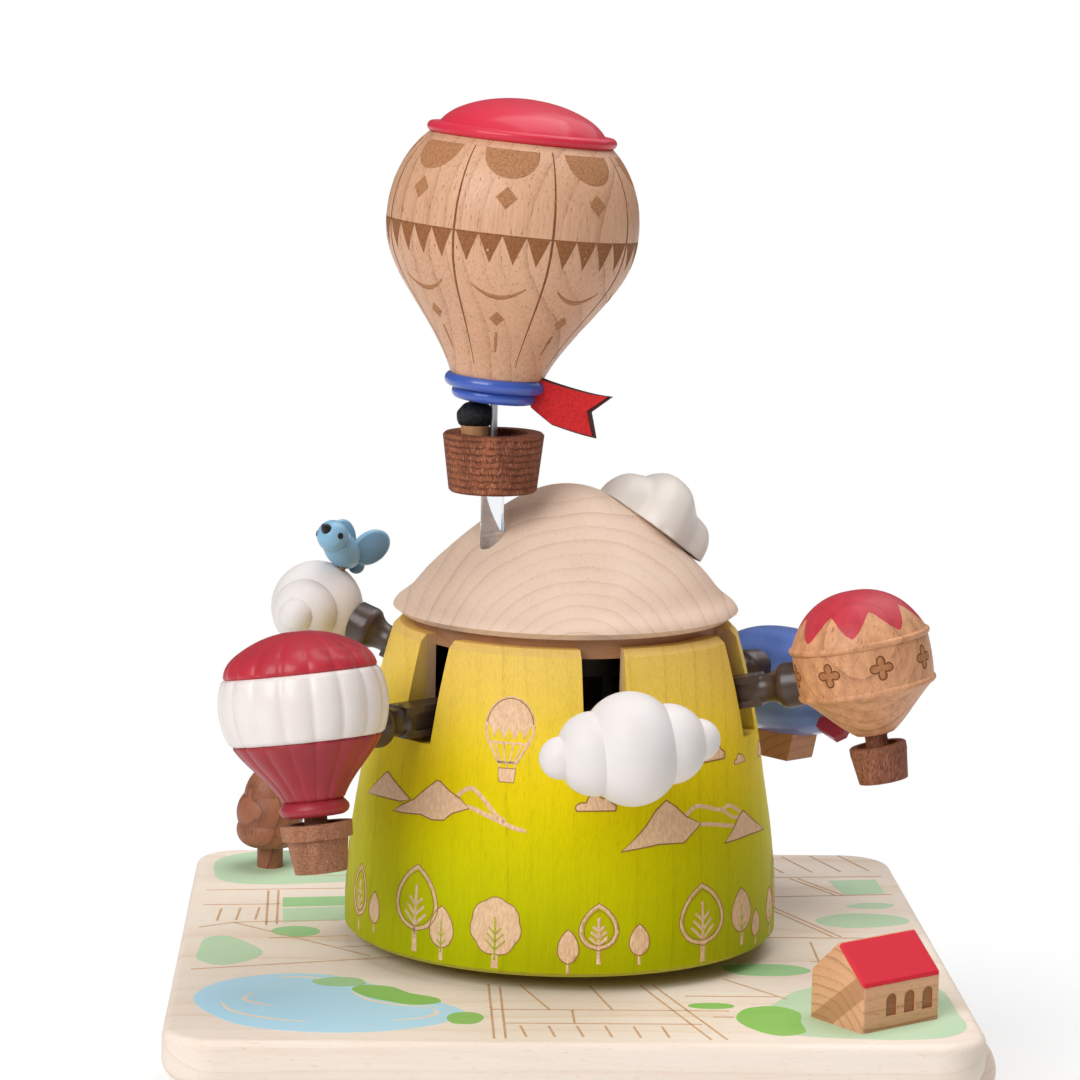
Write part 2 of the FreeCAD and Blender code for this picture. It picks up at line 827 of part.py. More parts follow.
def drum_shaft():
    bottom = knob_axis + shaft_foot_clearance
    top = dome_bottom + shaft_end_seat
    collar_bottom = board_top + bush_flange + running_clearance
    shaft = rod_along(Z_AXIS, shaft_radius, Vector(0, 0, bottom), top - bottom)
    collar = rod_along(Z_AXIS, collar_radius, Vector(0, 0, collar_bottom), collar_height)
    return shaft.fuse(collar).removeSplitter()


def cam_top():
    """The cam's highest point, just under the lowest an arm can reach above it."""
    a = math.radians(arm_low)
    lever = cam_outer_radius - cam_wall / 2 - pivot_radius
    return pivot_level + lever * math.tan(a) - arm_height / 2 / math.cos(a) - cam_clearance


def cam_ring():
    inner = cam_outer_radius - cam_wall
    floor_bore = bush_flange_radius
    top = cam_top()
    cup = lathe((floor_bore, board_top), (cam_outer_radius, board_top), (cam_outer_radius, top),
                (inner, top), (inner, board_top + cam_floor), (floor_bore, board_top + cam_floor))
    half = cam_valley_width / 2
    radius = (half ** 2 + cam_valley_depth ** 2) / (2 * cam_valley_depth)
    for azimuth in cam_valley_azimuths:
        valley = rod_along(outward(azimuth), radius, Vector(0, 0, top - cam_valley_depth + radius),
                           cam_outer_radius + slot_overcut)
        cup = cup.cut(valley)
    return cup


def arm_azimuths():
    return [first_slot_azimuth + i * 360.0 / arm_count for i in range(arm_count)]


def arm_carrier():
    under = disc_bottom
    plate = lathe((shaft_radius, pivot_level + carrier_drop), (carrier_radius, pivot_level + carrier_drop),
                  (carrier_radius, under), (shaft_radius, under))
    ears = []
    inner = arm_width / 2 + ear_gap
    for side in (-1, 1):
        y0 = side * inner
        y1 = side * (inner + ear_thickness)
        shank = block(pivot_radius - ear_half_length, pivot_radius + ear_half_length, min(y0, y1), max(y0, y1),
                      pivot_level, pivot_level + carrier_drop)
        eye = rod_along(Y_AXIS, ear_half_length, Vector(pivot_radius, min(y0, y1), pivot_level), ear_thickness)
        ears.append(shank.fuse(eye))
    around = []
    for azimuth in arm_azimuths():
        for ear in ears:
            around.append(turned(ear, Z_AXIS, azimuth - 90))
    carrier = fused([plate] + around)
    return carrier.cut(arm_pins())


def arm_pins():
    half = arm_width / 2 + ear_gap + ear_thickness
    pin = rod_along(Y_AXIS, pivot_pin_radius, Vector(pivot_radius, -half, pivot_level), 2 * half)
    return Part.makeCompound([turned(pin, Z_AXIS, azimuth - 90) for azimuth in arm_azimuths()])


# Turned clouds

def turned_cloud(size):
    """Cloud of five lobes turned about Y, the largest lobe near the origin."""
    hollows = [(0.0, -0.496), (0.372, -0.373), (0.735, -0.179), (0.704, 0.206), (0.375, 0.396), (0.0, 0.504)]
    crests = [(0.625, -0.310), (1.0, 0.020), (0.601, 0.329)]
    hollows = [(r * cloud_radius * size, a * cloud_length * size) for r, a in hollows]
    crests = [(r * cloud_radius * size, a * cloud_length * size) for r, a in crests]
    crests = [round_end(hollows[1], hollows[0])] + crests + [round_end(hollows[-2], hollows[-1])]
    lobes = [[crest, end] for crest, end in zip(crests, hollows[1:])]
    return turned(lathe(hollows[0], *lobes), X_AXIS, -90)


def dome_cloud():
    """Half cloud glued with its flat side on the slope of the dome."""
    cloud = turned(turned_cloud(dome_cloud_size), Z_AXIS, 90)
    reach = cloud_length * dome_cloud_size
    cloud = cloud.cut(block(-reach, reach, -reach, reach, -reach, 0))
    inner = dome_level(dome_cloud_radius - dome_cloud_span / 2)
    outer = dome_level(dome_cloud_radius + dome_cloud_span / 2)
    slope = math.degrees(math.atan2(inner - outer, dome_cloud_span))
    cloud = turned(cloud, Y_AXIS, slope)
    cloud = moved(cloud, dome_cloud_radius, 0, dome_level(dome_cloud_radius) - dome_cloud_sink)
    cloud = turned(cloud, Z_AXIS, dome_cloud_azimuth - 90)
    return cloud.cut(dome())


# Mast, main basket, passenger and main balloon

basket_bottom = rod_foot() + rod_seat_depth + rod_free_length
basket_top = basket_bottom + basket_height
neck_level = basket_top + mast_pin_free_length


def at_mast(shape, level):
    return moved(shape, mast_x, mast_y, level)


def leaned(shape):
    """From the balloon's own frame, with the neck at the origin, to its place."""
    return at_mast(turned(shape, Y_AXIS, main_lean), neck_level)


def clear_rod():
    return rod_along(Z_AXIS, rod_radius, Vector(mast_x, mast_y, rod_foot()), basket_bottom - rod_foot())


def mast_pin():
    foot = basket_bottom + basket_floor - mast_pin_seat
    return rod_along(Z_AXIS, mast_pin_radius, Vector(mast_x, mast_y, foot), neck_level + mast_pin_seat - foot)


def main_basket():
    inner = basket_top_radius - basket_wall
    rim = basket_rim_round
    body = lathe((0, 0), (basket_bottom_radius - rim, 0), (basket_bottom_radius, rim),
                 (basket_top_radius, basket_height - rim), (basket_top_radius - rim, basket_height),
                 (inner, basket_height), (inner, basket_floor), (0, basket_floor))
    return at_mast(body, basket_bottom).cut(mast_pin())


def passenger():
    """Turned figure that stands in the basket, from the feet to the brow."""
    foot = basket_bottom + basket_floor
    r = passenger_radius
    brow = basket_top + brow_rise
    neck = basket_top - passenger_neck_drop
    figure = lathe((0, foot), (r * 0.86, foot), (r * 0.95, foot + 0.15 * r), (r * 0.95, neck - 0.3 * r),
                   (r * 0.8, neck), (r, neck + passenger_neck_height), (r, brow), (0, brow))
    figure = moved(figure, mast_x + passenger_offset[0], mast_y + passenger_offset[1], 0)
    return figure.cut(mast_pin())


def passenger_hair():
    """Cap of hair, flat underneath, that sits on the brow."""
    low = basket_top + brow_rise
    r = hair_radius
    h = hair_height
    cap = lathe((0, low), (r * 0.93, low), [(r, low + 0.25 * h), (r * 0.85, low + 0.68 * h),
                                            (r * 0.4, low + 0.95 * h), (0, low + h)])
    cap = moved(cap, mast_x + passenger_offset[0], mast_y + passenger_offset[1], 0)
    room = rod_along(Z_AXIS, mast_pin_radius + hair_pin_gap, Vector(mast_x, mast_y, low), hair_height)
    return cap.cut(room)


def neck_ring():
    r = ring_radius
    h = ring_height
    ring = lathe((0, 0), (0.67 * r, 0), [(0.84 * r, 0.23 * h), (0.8 * r, 0.455 * h)], (0.915 * r, 0.475 * h),
                 [(r, 0.72 * h), (0.925 * r, h)], (0, h))
    return leaned(ring).cut(mast_pin())


def main_balloon():
    """Turned envelope from the neck ring up to the seat of the cap."""
    centre = main_neck_to_centre
    r = main_radius
    seat = centre + cap_seat
    solid = lathe((0, ring_height), (0.9 * ring_radius, ring_height),
                  [(0.485 * r, centre - r), (0.778 * r, centre - 0.59 * r), (0.972 * r, centre - 0.232 * r),
                   (r, centre - 0.02 * r), (0.927 * r, centre + 0.363 * r), (0.968 * cap_radius, seat)],
                  (0, seat))
    return leaned(solid)


def main_cap():
    """Painted cap: a round bead under a low dome."""
    seat = main_neck_to_centre + cap_seat
    bead = cap_bead
    r = cap_radius
    h = cap_height
    cap = lathe((0, seat), (r - bead, seat), [(r, seat + bead), (r - bead, seat + 2 * bead)],
                (0.875 * r, seat + 2 * bead),
                [(0.78 * r, seat + 0.5 * h), (0.6 * r, seat + 0.735 * h), (0.36 * r, seat + 0.91 * h),
                 (0, seat + h)])
    return leaned(cap)


def pennant():
    """Swallow-tailed felt pennant that streams from the neck ring."""
    start = ring_radius - pennant_seat
    length = pennant_length
    half = pennant_height / 2
    tail = half * 1.06
    points = [Vector(start, 0, -half * 0.55), Vector(start + length * 0.35, 0, -half * 1.02),
              Vector(start + length, 0, -tail - pennant_tail_slant / 2),
              Vector(start + length - pennant_notch, 0, 0),
              Vector(start + length + pennant_tail_slant, 0, tail),
              Vector(start + length * 0.35, 0, half * 0.96),
              Vector(start, 0, half)]
    flag = Part.Face(Part.makePolygon(points + points[:1])).extrude(Vector(0, pennant_thickness, 0))
    flag = turned(moved(flag, 0, -pennant_thickness / 2, 0), Y_AXIS, pennant_droop)
    flag = at_mast(turned(flag, Z_AXIS, pennant_turn), neck_level + ring_height * pennant_level)
    ring_room = rod_along(Z_AXIS, ring_radius, Vector(0, 0, -ring_height), 2 * ring_height)
    return flag.cut(leaned(ring_room)).cut(main_balloon())


# Tree and house

def tree():
    """Turned wooden tree: a short trunk under a stack of soft rounds."""
    r = tree_radius
    h = tree_height
    shoulder = (0.5 * r, 0.92 * h)
    crown = lathe((0, 0), (tree_trunk_radius, 0), (tree_trunk_radius, 0.2 * h),
                  (0.7 * r, 0.22 * h), [(0.97 * r, 0.31 * h), (0.95 * r, 0.44 * h)],
                  [(1.0 * r, 0.56 * h), (0.78 * r, 0.72 * h)],
                  [(0.72 * r, 0.8 * h), shoulder], [round_end(shoulder, (0, h)), (0, h)])
    peg = rod_along(Z_AXIS, tree_peg_radius, Vector(0, 0, -tree_peg_length), tree_peg_length)
    return moved(crown.fuse(peg), tree_place[0], tree_place[1], board_top)


def house():
    """Gabled block with three arched windows sunk into one long side."""
    half_length = house_length / 2
    half_width = house_width / 2
    points = [Vector(-half_length, -half_width, 0), Vector(-half_length, half_width, 0),
              Vector(-half_length, half_width, house_eave), Vector(-half_length, 0, house_ridge),
              Vector(-half_length, -half_width, house_eave)]
    body = Part.Face(Part.makePolygon(points + points[:1])).extrude(Vector(house_length, 0, 0))
    body = body.makeFillet(house_round, [e for e in body.Edges if e.BoundBox.ZMax > same_level])
    sill = house_eave * 0.27
    half_window = window_width / 2
    for share in (-1, 0, 1):
        x = window_shift + share * window_pitch
        face_y = -half_width
        spring = sill + window_height - half_window
        pane = block(x - half_window, x + half_window, face_y, face_y + window_depth, sill, spring)
        arch = rod_along(Y_AXIS, half_window, Vector(x, face_y, spring), window_depth)
        body = body.cut(pane.fuse(arch))
    return moved(turned(body, Z_AXIS, house_turn), house_place[0], house_place[1], board_top)


# Arms and figures. Each is built lying level, with the pivot at the origin and
# the arm along +X, then tilted up, turned to its slot and carried to its pivot.

def placed(shape, azimuth, tilt):
    out = outward(azimuth) * pivot_radius
    shape = turned(turned(shape, Y_AXIS, -tilt), Z_AXIS, azimuth - 90)
    return moved(shape, out.x, out.y, pivot_level)


def spigot(length):
    """Peg of the arm that goes into a blind hole of its figure."""
    return rod_along(X_AXIS, spigot_radius, Vector(length - socket_length, 0, 0), socket_length + spigot_reach)


def arm_bar(length, figures):
    """Moulded arm with a pivot eye, a pocket in each side and a cup for its figure."""
    half = arm_height / 2
    side = arm_width / 2
    bar_end = length - socket_length
    neck = bar_end - flare_length
    eye = rod_along(Y_AXIS, half, Vector(0, -side, 0), arm_width)
    bar = block(0, neck, -side, side, -half, half)
    pocket_start = half + pocket_from_eye
    pocket_end = neck - pocket_from_neck
    pocket_half = half - pocket_border
    for y0 in (-side, side - pocket_depth):
        ends = [rod_along(Y_AXIS, pocket_half, Vector(x, y0, 0), pocket_depth)
                for x in (pocket_start + pocket_half, pocket_end - pocket_half)]
        middle = block(pocket_start + pocket_half, pocket_end - pocket_half, y0, y0 + pocket_depth,
                       -pocket_half, pocket_half)
        bar = bar.cut(fused([middle] + ends))
    corner = math.hypot(half, side)
    root = -flare_length - flare_root
    mouth = socket_length + socket_bite
    bell = lathe((0, root), (corner * 0.8, root),
                 [(half * 0.95, -flare_length * 0.55), (0.925 * socket_radius, -flare_length * 0.08)],
                 [(socket_radius, socket_length * 0.18), (socket_radius, socket_length * 0.47)],
                 (0.96 * socket_radius, mouth), (0, mouth))
    bell = moved(turned(bell, Y_AXIS, 90), bar_end, 0, 0)
    pivot_hole = rod_along(Y_AXIS, pivot_pin_radius + running_clearance, Vector(0, -side, 0), arm_width)
    arm = fused([bar, eye, bell]).cut(pivot_hole)
    for figure in figures:
        arm = arm.cut(figure)
    return arm.fuse(spigot(length)).removeSplitter()


def cloud_figure(size, reach, roll, drop):
    cloud = turned(turned_cloud(size), X_AXIS, roll)
    return moved(cloud, reach, 0, -drop)


def rolled(shape, reach, lift, roll):
    """From a balloon's own frame, with its widest ring at the origin, to its arm."""
    return turned(moved(shape, reach, 0, lift), X_AXIS, roll)


def striped_place(shape):
    return rolled(shape, striped_reach, striped_lift, striped_roll)


def striped_balloon():
    """Red, white and red balloon, turned in three pieces, the last one with a bead at the neck."""
    r = striped_radius
    seat = striped_cap_seat
    h = striped_cap_height
    cap = lathe((0, seat), (0.911 * r, seat),
                [(0.85 * r, seat + 0.344 * h), (0.65 * r, seat + 0.667 * h), (0.36 * r, seat + 0.914 * h),
                 (0, seat + h)])
    band = lathe((0, striped_cone_seat), (0.905 * r, striped_cone_seat),
                 [(r, striped_widest), (0.93 * r, seat)], (0, seat))
    length = striped_cone_length
    neck = striped_cone_seat - length
    bottom = neck - striped_neck_height
    cone = lathe((0, bottom), (0.36 * r, bottom), [(0.415 * r, (neck + bottom) / 2), (0.36 * r, neck)],
                 [(0.42 * r, neck + 0.16 * length), (0.66 * r, neck + 0.572 * length),
                  (0.89 * r, striped_cone_seat)], (0, striped_cone_seat))
    return [striped_place(piece) for piece in (cap, band, cone)]


def striped_basket():
    """Small basket with a broad rim, hung by a stem from the neck bead."""
    r = striped_basket_radius
    neck = striped_cone_seat - striped_cone_length - striped_neck_height
    top = neck - striped_stem_length
    bottom = top - striped_basket_height
    rim = top - striped_rim_height
    body = lathe((0, bottom), (0.72 * r, bottom), (0.85 * r, rim - 0.025 * r), (0.975 * r, rim), (r, top),
                 (0.7 * r, top), (0.7 * r, top - striped_basket_hollow), (0, top - striped_basket_hollow))
    stem = rod_along(Z_AXIS, stem_radius, Vector(0, 0, bottom), neck - bottom)
    return striped_place(body.fuse(stem).removeSplitter())


def wooden_place(shape):
    return rolled(shape, wooden_reach, wooden_lift, 0)


def wooden_balloon():
    """Turned balloon with two raised beads round its middle."""
    r = wooden_radius
    upper = wooden_upper_bead + wooden_bead_half
    lower = wooden_lower_bead - wooden_bead_half
    rise = wooden_top - upper
    fall = lower - wooden_neck
    solid = lathe((0, wooden_neck), (0.28 * r, wooden_neck),
                  [(0.4 * r, lower - 0.84 * fall), (0.65 * r, lower - 0.44 * fall), (0.935 * r, lower)],
                  [(0.99 * r, wooden_lower_bead), (0.965 * r, wooden_lower_bead + wooden_bead_half)],
                  [(0.985 * r, wooden_belly), (0.975 * r, wooden_upper_bead - wooden_bead_half)],
                  [(1.012 * r, wooden_upper_bead), (0.965 * r, upper)],
                  [(0.9 * r, upper + 0.2 * rise), (0.72 * r, upper + 0.59 * rise),
                   (0.45 * r, upper + 0.885 * rise), (0, wooden_top)])
    return wooden_place(solid)


def wooden_basket():
    """Small basket with a low rim, hung by a stem from the balloon's neck."""
    r = wooden_basket_radius
    top = wooden_neck - wooden_stem_length
    bottom = top - wooden_basket_height
    rim = top - wooden_rim_height
    body = lathe((0, bottom), (0.86 * r, bottom), (0.985 * r, rim - wooden_rim_round), (r, rim),
                 (r, top - wooden_rim_round), (r - wooden_rim_round, top), (0.72 * r, top),
                 (0.72 * r, top - wooden_basket_hollow), (0, top - wooden_basket_hollow))
    stem = rod_along(Z_AXIS, stem_radius, Vector(0, 0, bottom), wooden_neck - bottom)
    return wooden_place(body.fuse(stem).removeSplitter())


def airship_hull():
    """Painted hull turned about the line of flight, fuller towards the nose."""
    half = airship_length / 2
    r = airship_radius
    tail = (0.3 * r, -0.93 * half)
    nose = (0.6 * r, 0.82 * half)
    hull = lathe((0, -half), [round_end(tail, (0, -half)), tail],
                 [(0.66 * r, -0.68 * half), (0.93 * r, -0.3 * half), (r, 0.08 * half), (0.9 * r, 0.5 * half),
                  nose],
                 [round_end(nose, (0, half)), (0, half)])
    return turned(hull, X_AXIS, -90)


def airship_place(shape):
    return moved(shape, airship_reach, 0, airship_lift)


def airship():
    hull = airship_hull()
    for fin in airship_fin_blanks().Solids:
        hull = hull.cut(fin)
    return airship_place(hull)


def airship_fin_blanks():
    """Four tail fins set crosswise into slots near the tail."""
    half = airship_length / 2
    root = -half * 0.62
    tip = -half - fin_overhang
    r = airship_radius
    points = [Vector(0, root, 0.2 * r), Vector(0, root - fin_sweep, 0.86 * r),
              Vector(0, tip + fin_sweep, 1.02 * r), Vector(0, tip, 0.88 * r),
              Vector(0, tip + fin_overhang, 0.2 * r)]
    fin = Part.Face(Part.makePolygon(points + points[:1])).extrude(Vector(fin_thickness, 0, 0))
    fin = moved(fin, -fin_thickness / 2, 0, 0)
    return Part.makeCompound([turned(fin, Y_AXIS, 45 + 90 * i) for i in range(4)])


def airship_gondola():
    """Cabin under the hull, tapered at both ends."""
    top = -airship_radius * 0.9
    half = gondola_length / 2
    points = [Vector(0, -half, 0), Vector(0, half, 0), Vector(0, half * 0.72, -gondola_height),
              Vector(0, -half * 0.72, -gondola_height)]
    cabin = Part.Face(Part.makePolygon(points + points[:1])).extrude(Vector(gondola_width, 0, 0))
    cabin = moved(cabin, -gondola_width / 2, 0, top)
    return airship_place(cabin.cut(airship_hull()))


def ball(radius, x, z):
    return Part.makeSphere(radius, Vector(x, 0, z))


def wing(side):
    """Flat oval wing that stands out from the back of the body."""
    oval = Part.Ellipse(Vector(0, 0, 0), bird_wing_length / 2, bird_wing_width / 2)
    blade = Part.Face(Part.Wire([oval.toShape()])).extrude(Vector(0, 0, bird_wing_thickness))
    blade = moved(blade, bird_wing_root - bird_wing_length / 2, 0, -bird_wing_thickness / 2)
    blade = turned(blade, X_AXIS, side * bird_wing_spread)
    blade = turned(turned(blade, Y_AXIS, bird_wing_pitch), Z_AXIS, -side * bird_wing_sweep)
    return moved(blade, bird_length * 0.08, side * bird_radius * 0.72, bird_radius * 0.45)


def bird():
    """Small bird: body, head, wings and a round tail, turned towards the front."""
    half = bird_length / 2
    body = lathe((0, -half), [(bird_radius * 0.62, -half * 0.62), (bird_radius, half * 0.1),
                              (bird_radius * 0.8, half * 0.72), (0, half)])
    body = turned(turned(body, Y_AXIS, 90), Y_AXIS, -bird_body_pitch)
    head = ball(bird_head_radius, half * 0.72, bird_radius * 0.75)
    tail = ball(bird_tail_radius, -half * 0.98, -bird_radius * 0.75)
    beak_foot = Vector(half * 0.72 + bird_head_radius - bird_beak_root, 0, bird_radius * 0.9)
    beak = Part.makeCone(bird_beak_radius, bird_beak_tip, bird_beak_length, beak_foot, Vector(1, 0, 0.15))
    return turned(fused([body, head, tail, beak, wing(1), wing(-1)]), Z_AXIS, bird_heading)


def perched(shape):
    """Level on its tilted arm, above the cloud."""
    return moved(turned(shape, Y_AXIS, bird_tilt), bird_reach, 0, bird_lift)


def bird_peg():
    """Brown peg from the bird's belly down into the cloud."""
    fall = bird_lift + bird_cloud_drop - bird_cloud_size * cloud_radius + bird_peg_seat
    start = Vector(bird_reach, 0, bird_lift - bird_peg_start)
    return rod_along(Vector(0, 0, -1), bird_peg_radius, start, fall - bird_peg_start)


def socket_reach(reach, radius):
    """Arm length at which the cup just meets a round figure of that radius."""
    return reach - radius


def arm_sets():
    """Each arm with its slot, tilt, length and the pieces of its figure."""
    front = cloud_figure(1.0, front_cloud_reach, front_cloud_roll, 0)
    rear = cloud_figure(1.0, rear_cloud_reach, 0, 0)
    left = cloud_figure(bird_cloud_size, bird_cloud_reach, 0, bird_cloud_drop)
    stripes = striped_balloon()
    hull_side = math.sqrt(airship_radius ** 2 - airship_lift ** 2)
    bird_figure = perched(bird())
    peg = bird_peg().cut(bird_figure)
    slots = dict(zip(("front", "wooden_balloon", "airship", "rear", "bird", "striped_balloon"), arm_azimuths()))
    return [
        ("front_arm", slots["front"], front_tilt, socket_reach(front_cloud_reach, cloud_radius),
         [("front_cloud", front)]),
        ("wooden_balloon_arm", slots["wooden_balloon"], right_tilt, socket_reach(wooden_reach, wooden_radius),
         [("wooden_balloon", wooden_balloon()), ("wooden_balloon_basket", wooden_basket())]),
        ("airship_arm", slots["airship"], airship_tilt, socket_reach(airship_reach, hull_side),
         [("airship_hull", airship()), ("airship_fins", airship_place(airship_fin_blanks())),
          ("airship_gondola", airship_gondola())]),
        ("rear_arm", slots["rear"], rear_tilt, socket_reach(rear_cloud_reach, cloud_radius),
         [("rear_cloud", rear)]),
        ("bird_arm", slots["bird"], bird_tilt, socket_reach(bird_cloud_reach, cloud_radius * bird_cloud_size),
         [("bird_cloud", left.cut(peg)), ("bird", bird_figure.fuse(peg).removeSplitter())]),
        ("striped_balloon_arm", slots["striped_balloon"], striped_tilt,
         socket_reach(striped_reach, 0.93 * striped_radius),
         [("striped_balloon_cap", stripes[0]), ("striped_balloon_band", stripes[1]),
          ("striped_balloon_cone", stripes[2]), ("striped_balloon_basket", striped_basket())]),
    ]


def save(name, shape):
    shape.exportStep("parts/" + name + ".step")


os.makedirs("parts", exist_ok=True)
for make in (board, base_box, bottom_cover, cover_screws, rubber_feet, tree, house, cam_ring, shaft_bush,
             knob_bush, bedplate, comb, governor_frame, winding_knob, winding_shaft, spring_barrel,
             great_wheel, drive_pinion, pinned_cylinder, cylinder_arbor, cylinder_pinion, cylinder_wheel,
             governor_wheel, fly, drum_shaft, drum_gear, drum_shell, top_disc, dome, arm_carrier, arm_pins,
             dome_cloud, clear_rod, main_basket, passenger, passenger_hair, mast_pin, neck_ring,
             main_balloon, main_cap, pennant):
    save(make.__name__, make())
for arm_name, azimuth, tilt, length, figures in arm_sets():
    peg = spigot(length)
    arm = arm_bar(length, [shape for name, shape in figures])
    save(arm_name, placed(arm, azimuth, tilt))
    for name, shape in figures:
        save(name, placed(shape.cut(peg), azimuth, tilt))
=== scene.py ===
import json
import math
import random

import bmesh
import bpy
from mathutils import Matrix, Vector
from mathutils.bvhtree import BVHTree
from mathutils.geometry import tessellate_polygon


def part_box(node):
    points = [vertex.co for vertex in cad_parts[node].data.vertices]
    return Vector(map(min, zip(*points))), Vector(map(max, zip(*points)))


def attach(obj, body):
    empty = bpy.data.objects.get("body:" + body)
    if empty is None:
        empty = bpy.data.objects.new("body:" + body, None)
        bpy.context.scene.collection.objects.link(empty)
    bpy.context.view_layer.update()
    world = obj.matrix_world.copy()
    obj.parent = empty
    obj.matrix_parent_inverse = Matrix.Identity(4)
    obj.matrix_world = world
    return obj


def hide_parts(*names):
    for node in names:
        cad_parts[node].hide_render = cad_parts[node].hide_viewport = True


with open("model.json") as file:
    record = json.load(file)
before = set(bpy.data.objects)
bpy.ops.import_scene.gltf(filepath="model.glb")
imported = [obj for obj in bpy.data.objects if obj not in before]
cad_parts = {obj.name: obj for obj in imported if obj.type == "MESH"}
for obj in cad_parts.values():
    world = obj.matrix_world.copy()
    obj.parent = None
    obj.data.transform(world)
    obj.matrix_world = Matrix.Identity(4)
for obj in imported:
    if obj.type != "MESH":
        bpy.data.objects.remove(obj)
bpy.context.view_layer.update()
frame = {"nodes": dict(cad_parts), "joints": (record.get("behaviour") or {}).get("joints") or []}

# Camera
# A long lens, a little to the left of the box and just above it, looking slightly
# down at the balloons. The photograph is square and cuts off the front of the board.
eye = Vector((-0.04509, -0.86721, 0.2794))
look_right = math.radians(2.558)
look_down = math.radians(8.48)
camera_roll = math.radians(1.105)
forward = Vector((math.sin(look_right) * math.cos(look_down),
                  math.cos(look_right) * math.cos(look_down), -math.sin(look_down)))
level_right = Vector((math.cos(look_right), -math.sin(look_right), 0))
level_up = level_right.cross(forward)
camera_right = level_right * math.cos(camera_roll) + level_up * math.sin(camera_roll)
camera_up = level_up * math.cos(camera_roll) - level_right * math.sin(camera_roll)
camera_data = bpy.data.cameras.new("camera")
camera_data.sensor_width = 36.0
camera_data.lens = 124.61
camera_data.clip_start = 0.05
camera_data.clip_end = 50.0
camera = bpy.data.objects.new("camera", camera_data)
camera_axes = Matrix((camera_right, camera_up, -forward)).transposed().to_4x4()
camera.matrix_world = Matrix.Translation(eye) @ camera_axes
bpy.context.scene.collection.objects.link(camera)
bpy.context.scene.camera = camera
bpy.context.scene.view_settings.view_transform = "Standard"


# Floor, background and lamps
# A white sweep under soft studio light: one large lamp up in front on the left, one
# overhead and a weak one behind. The floor fades to plain white away from the box.
def tint(red, green, blue):
    """A colour as it looks on a screen, 0 to 255, as the shader needs it."""
    parts = [value / 255 for value in (red, green, blue)]
    return tuple(p / 12.92 if p <= 0.04045 else ((p + 0.055) / 1.055) ** 2.4 for p in parts) + (1.0,)


class Wire:
    """A number, colour or vector on its way through a finish. Operators add its maths nodes."""

    def __init__(self, finish, socket):
        self.finish = finish
        self.socket = socket

    def maths(self, operation, first, second):
        kind = "VectorMath" if self.socket.type == "VECTOR" else "Math"
        return self.finish.add(kind, {"operation": operation}, first, second)

    def __add__(self, other):
        return self.maths("ADD", self, other)

    def __sub__(self, other):
        return self.maths("SUBTRACT", self, other)

    def __mul__(self, other):
        return self.maths("MULTIPLY", self, other)

    def __truediv__(self, other):
        return self.maths("DIVIDE", self, other)

    def __pow__(self, other):
        return self.maths("POWER", self, other)

    def __mod__(self, other):
        return self.maths("MODULO", self, other)

    def __radd__(self, other):
        return self.maths("ADD", other, self)

    def __rsub__(self, other):
        return self.maths("SUBTRACT", other, self)

    def __rmul__(self, other):
        return self.maths("MULTIPLY", other, self)

    def __rtruediv__(self, other):
        return self.maths("DIVIDE", other, self)

    def call(self, operation, *others):
        """Any other operation of the maths node, such as SINE or ARCTAN2."""
        return self.finish.add("Math", {"operation": operation}, self, *others)

    def dot(self, direction):
        """How far a vector reaches along a direction."""
        return self.finish.add("VectorMath", {"operation": "DOT_PRODUCT"}, self, direction, out="Value")

    def length(self):
        return self.finish.add("VectorMath", {"operation": "LENGTH"}, self, out="Value")

    def fade(self, low, high):
        """0 below low, 1 above high and smooth between."""
        return self.finish.add("MapRange", {"interpolation_type": "SMOOTHSTEP"}, self, low, high, 0.0, 1.0)


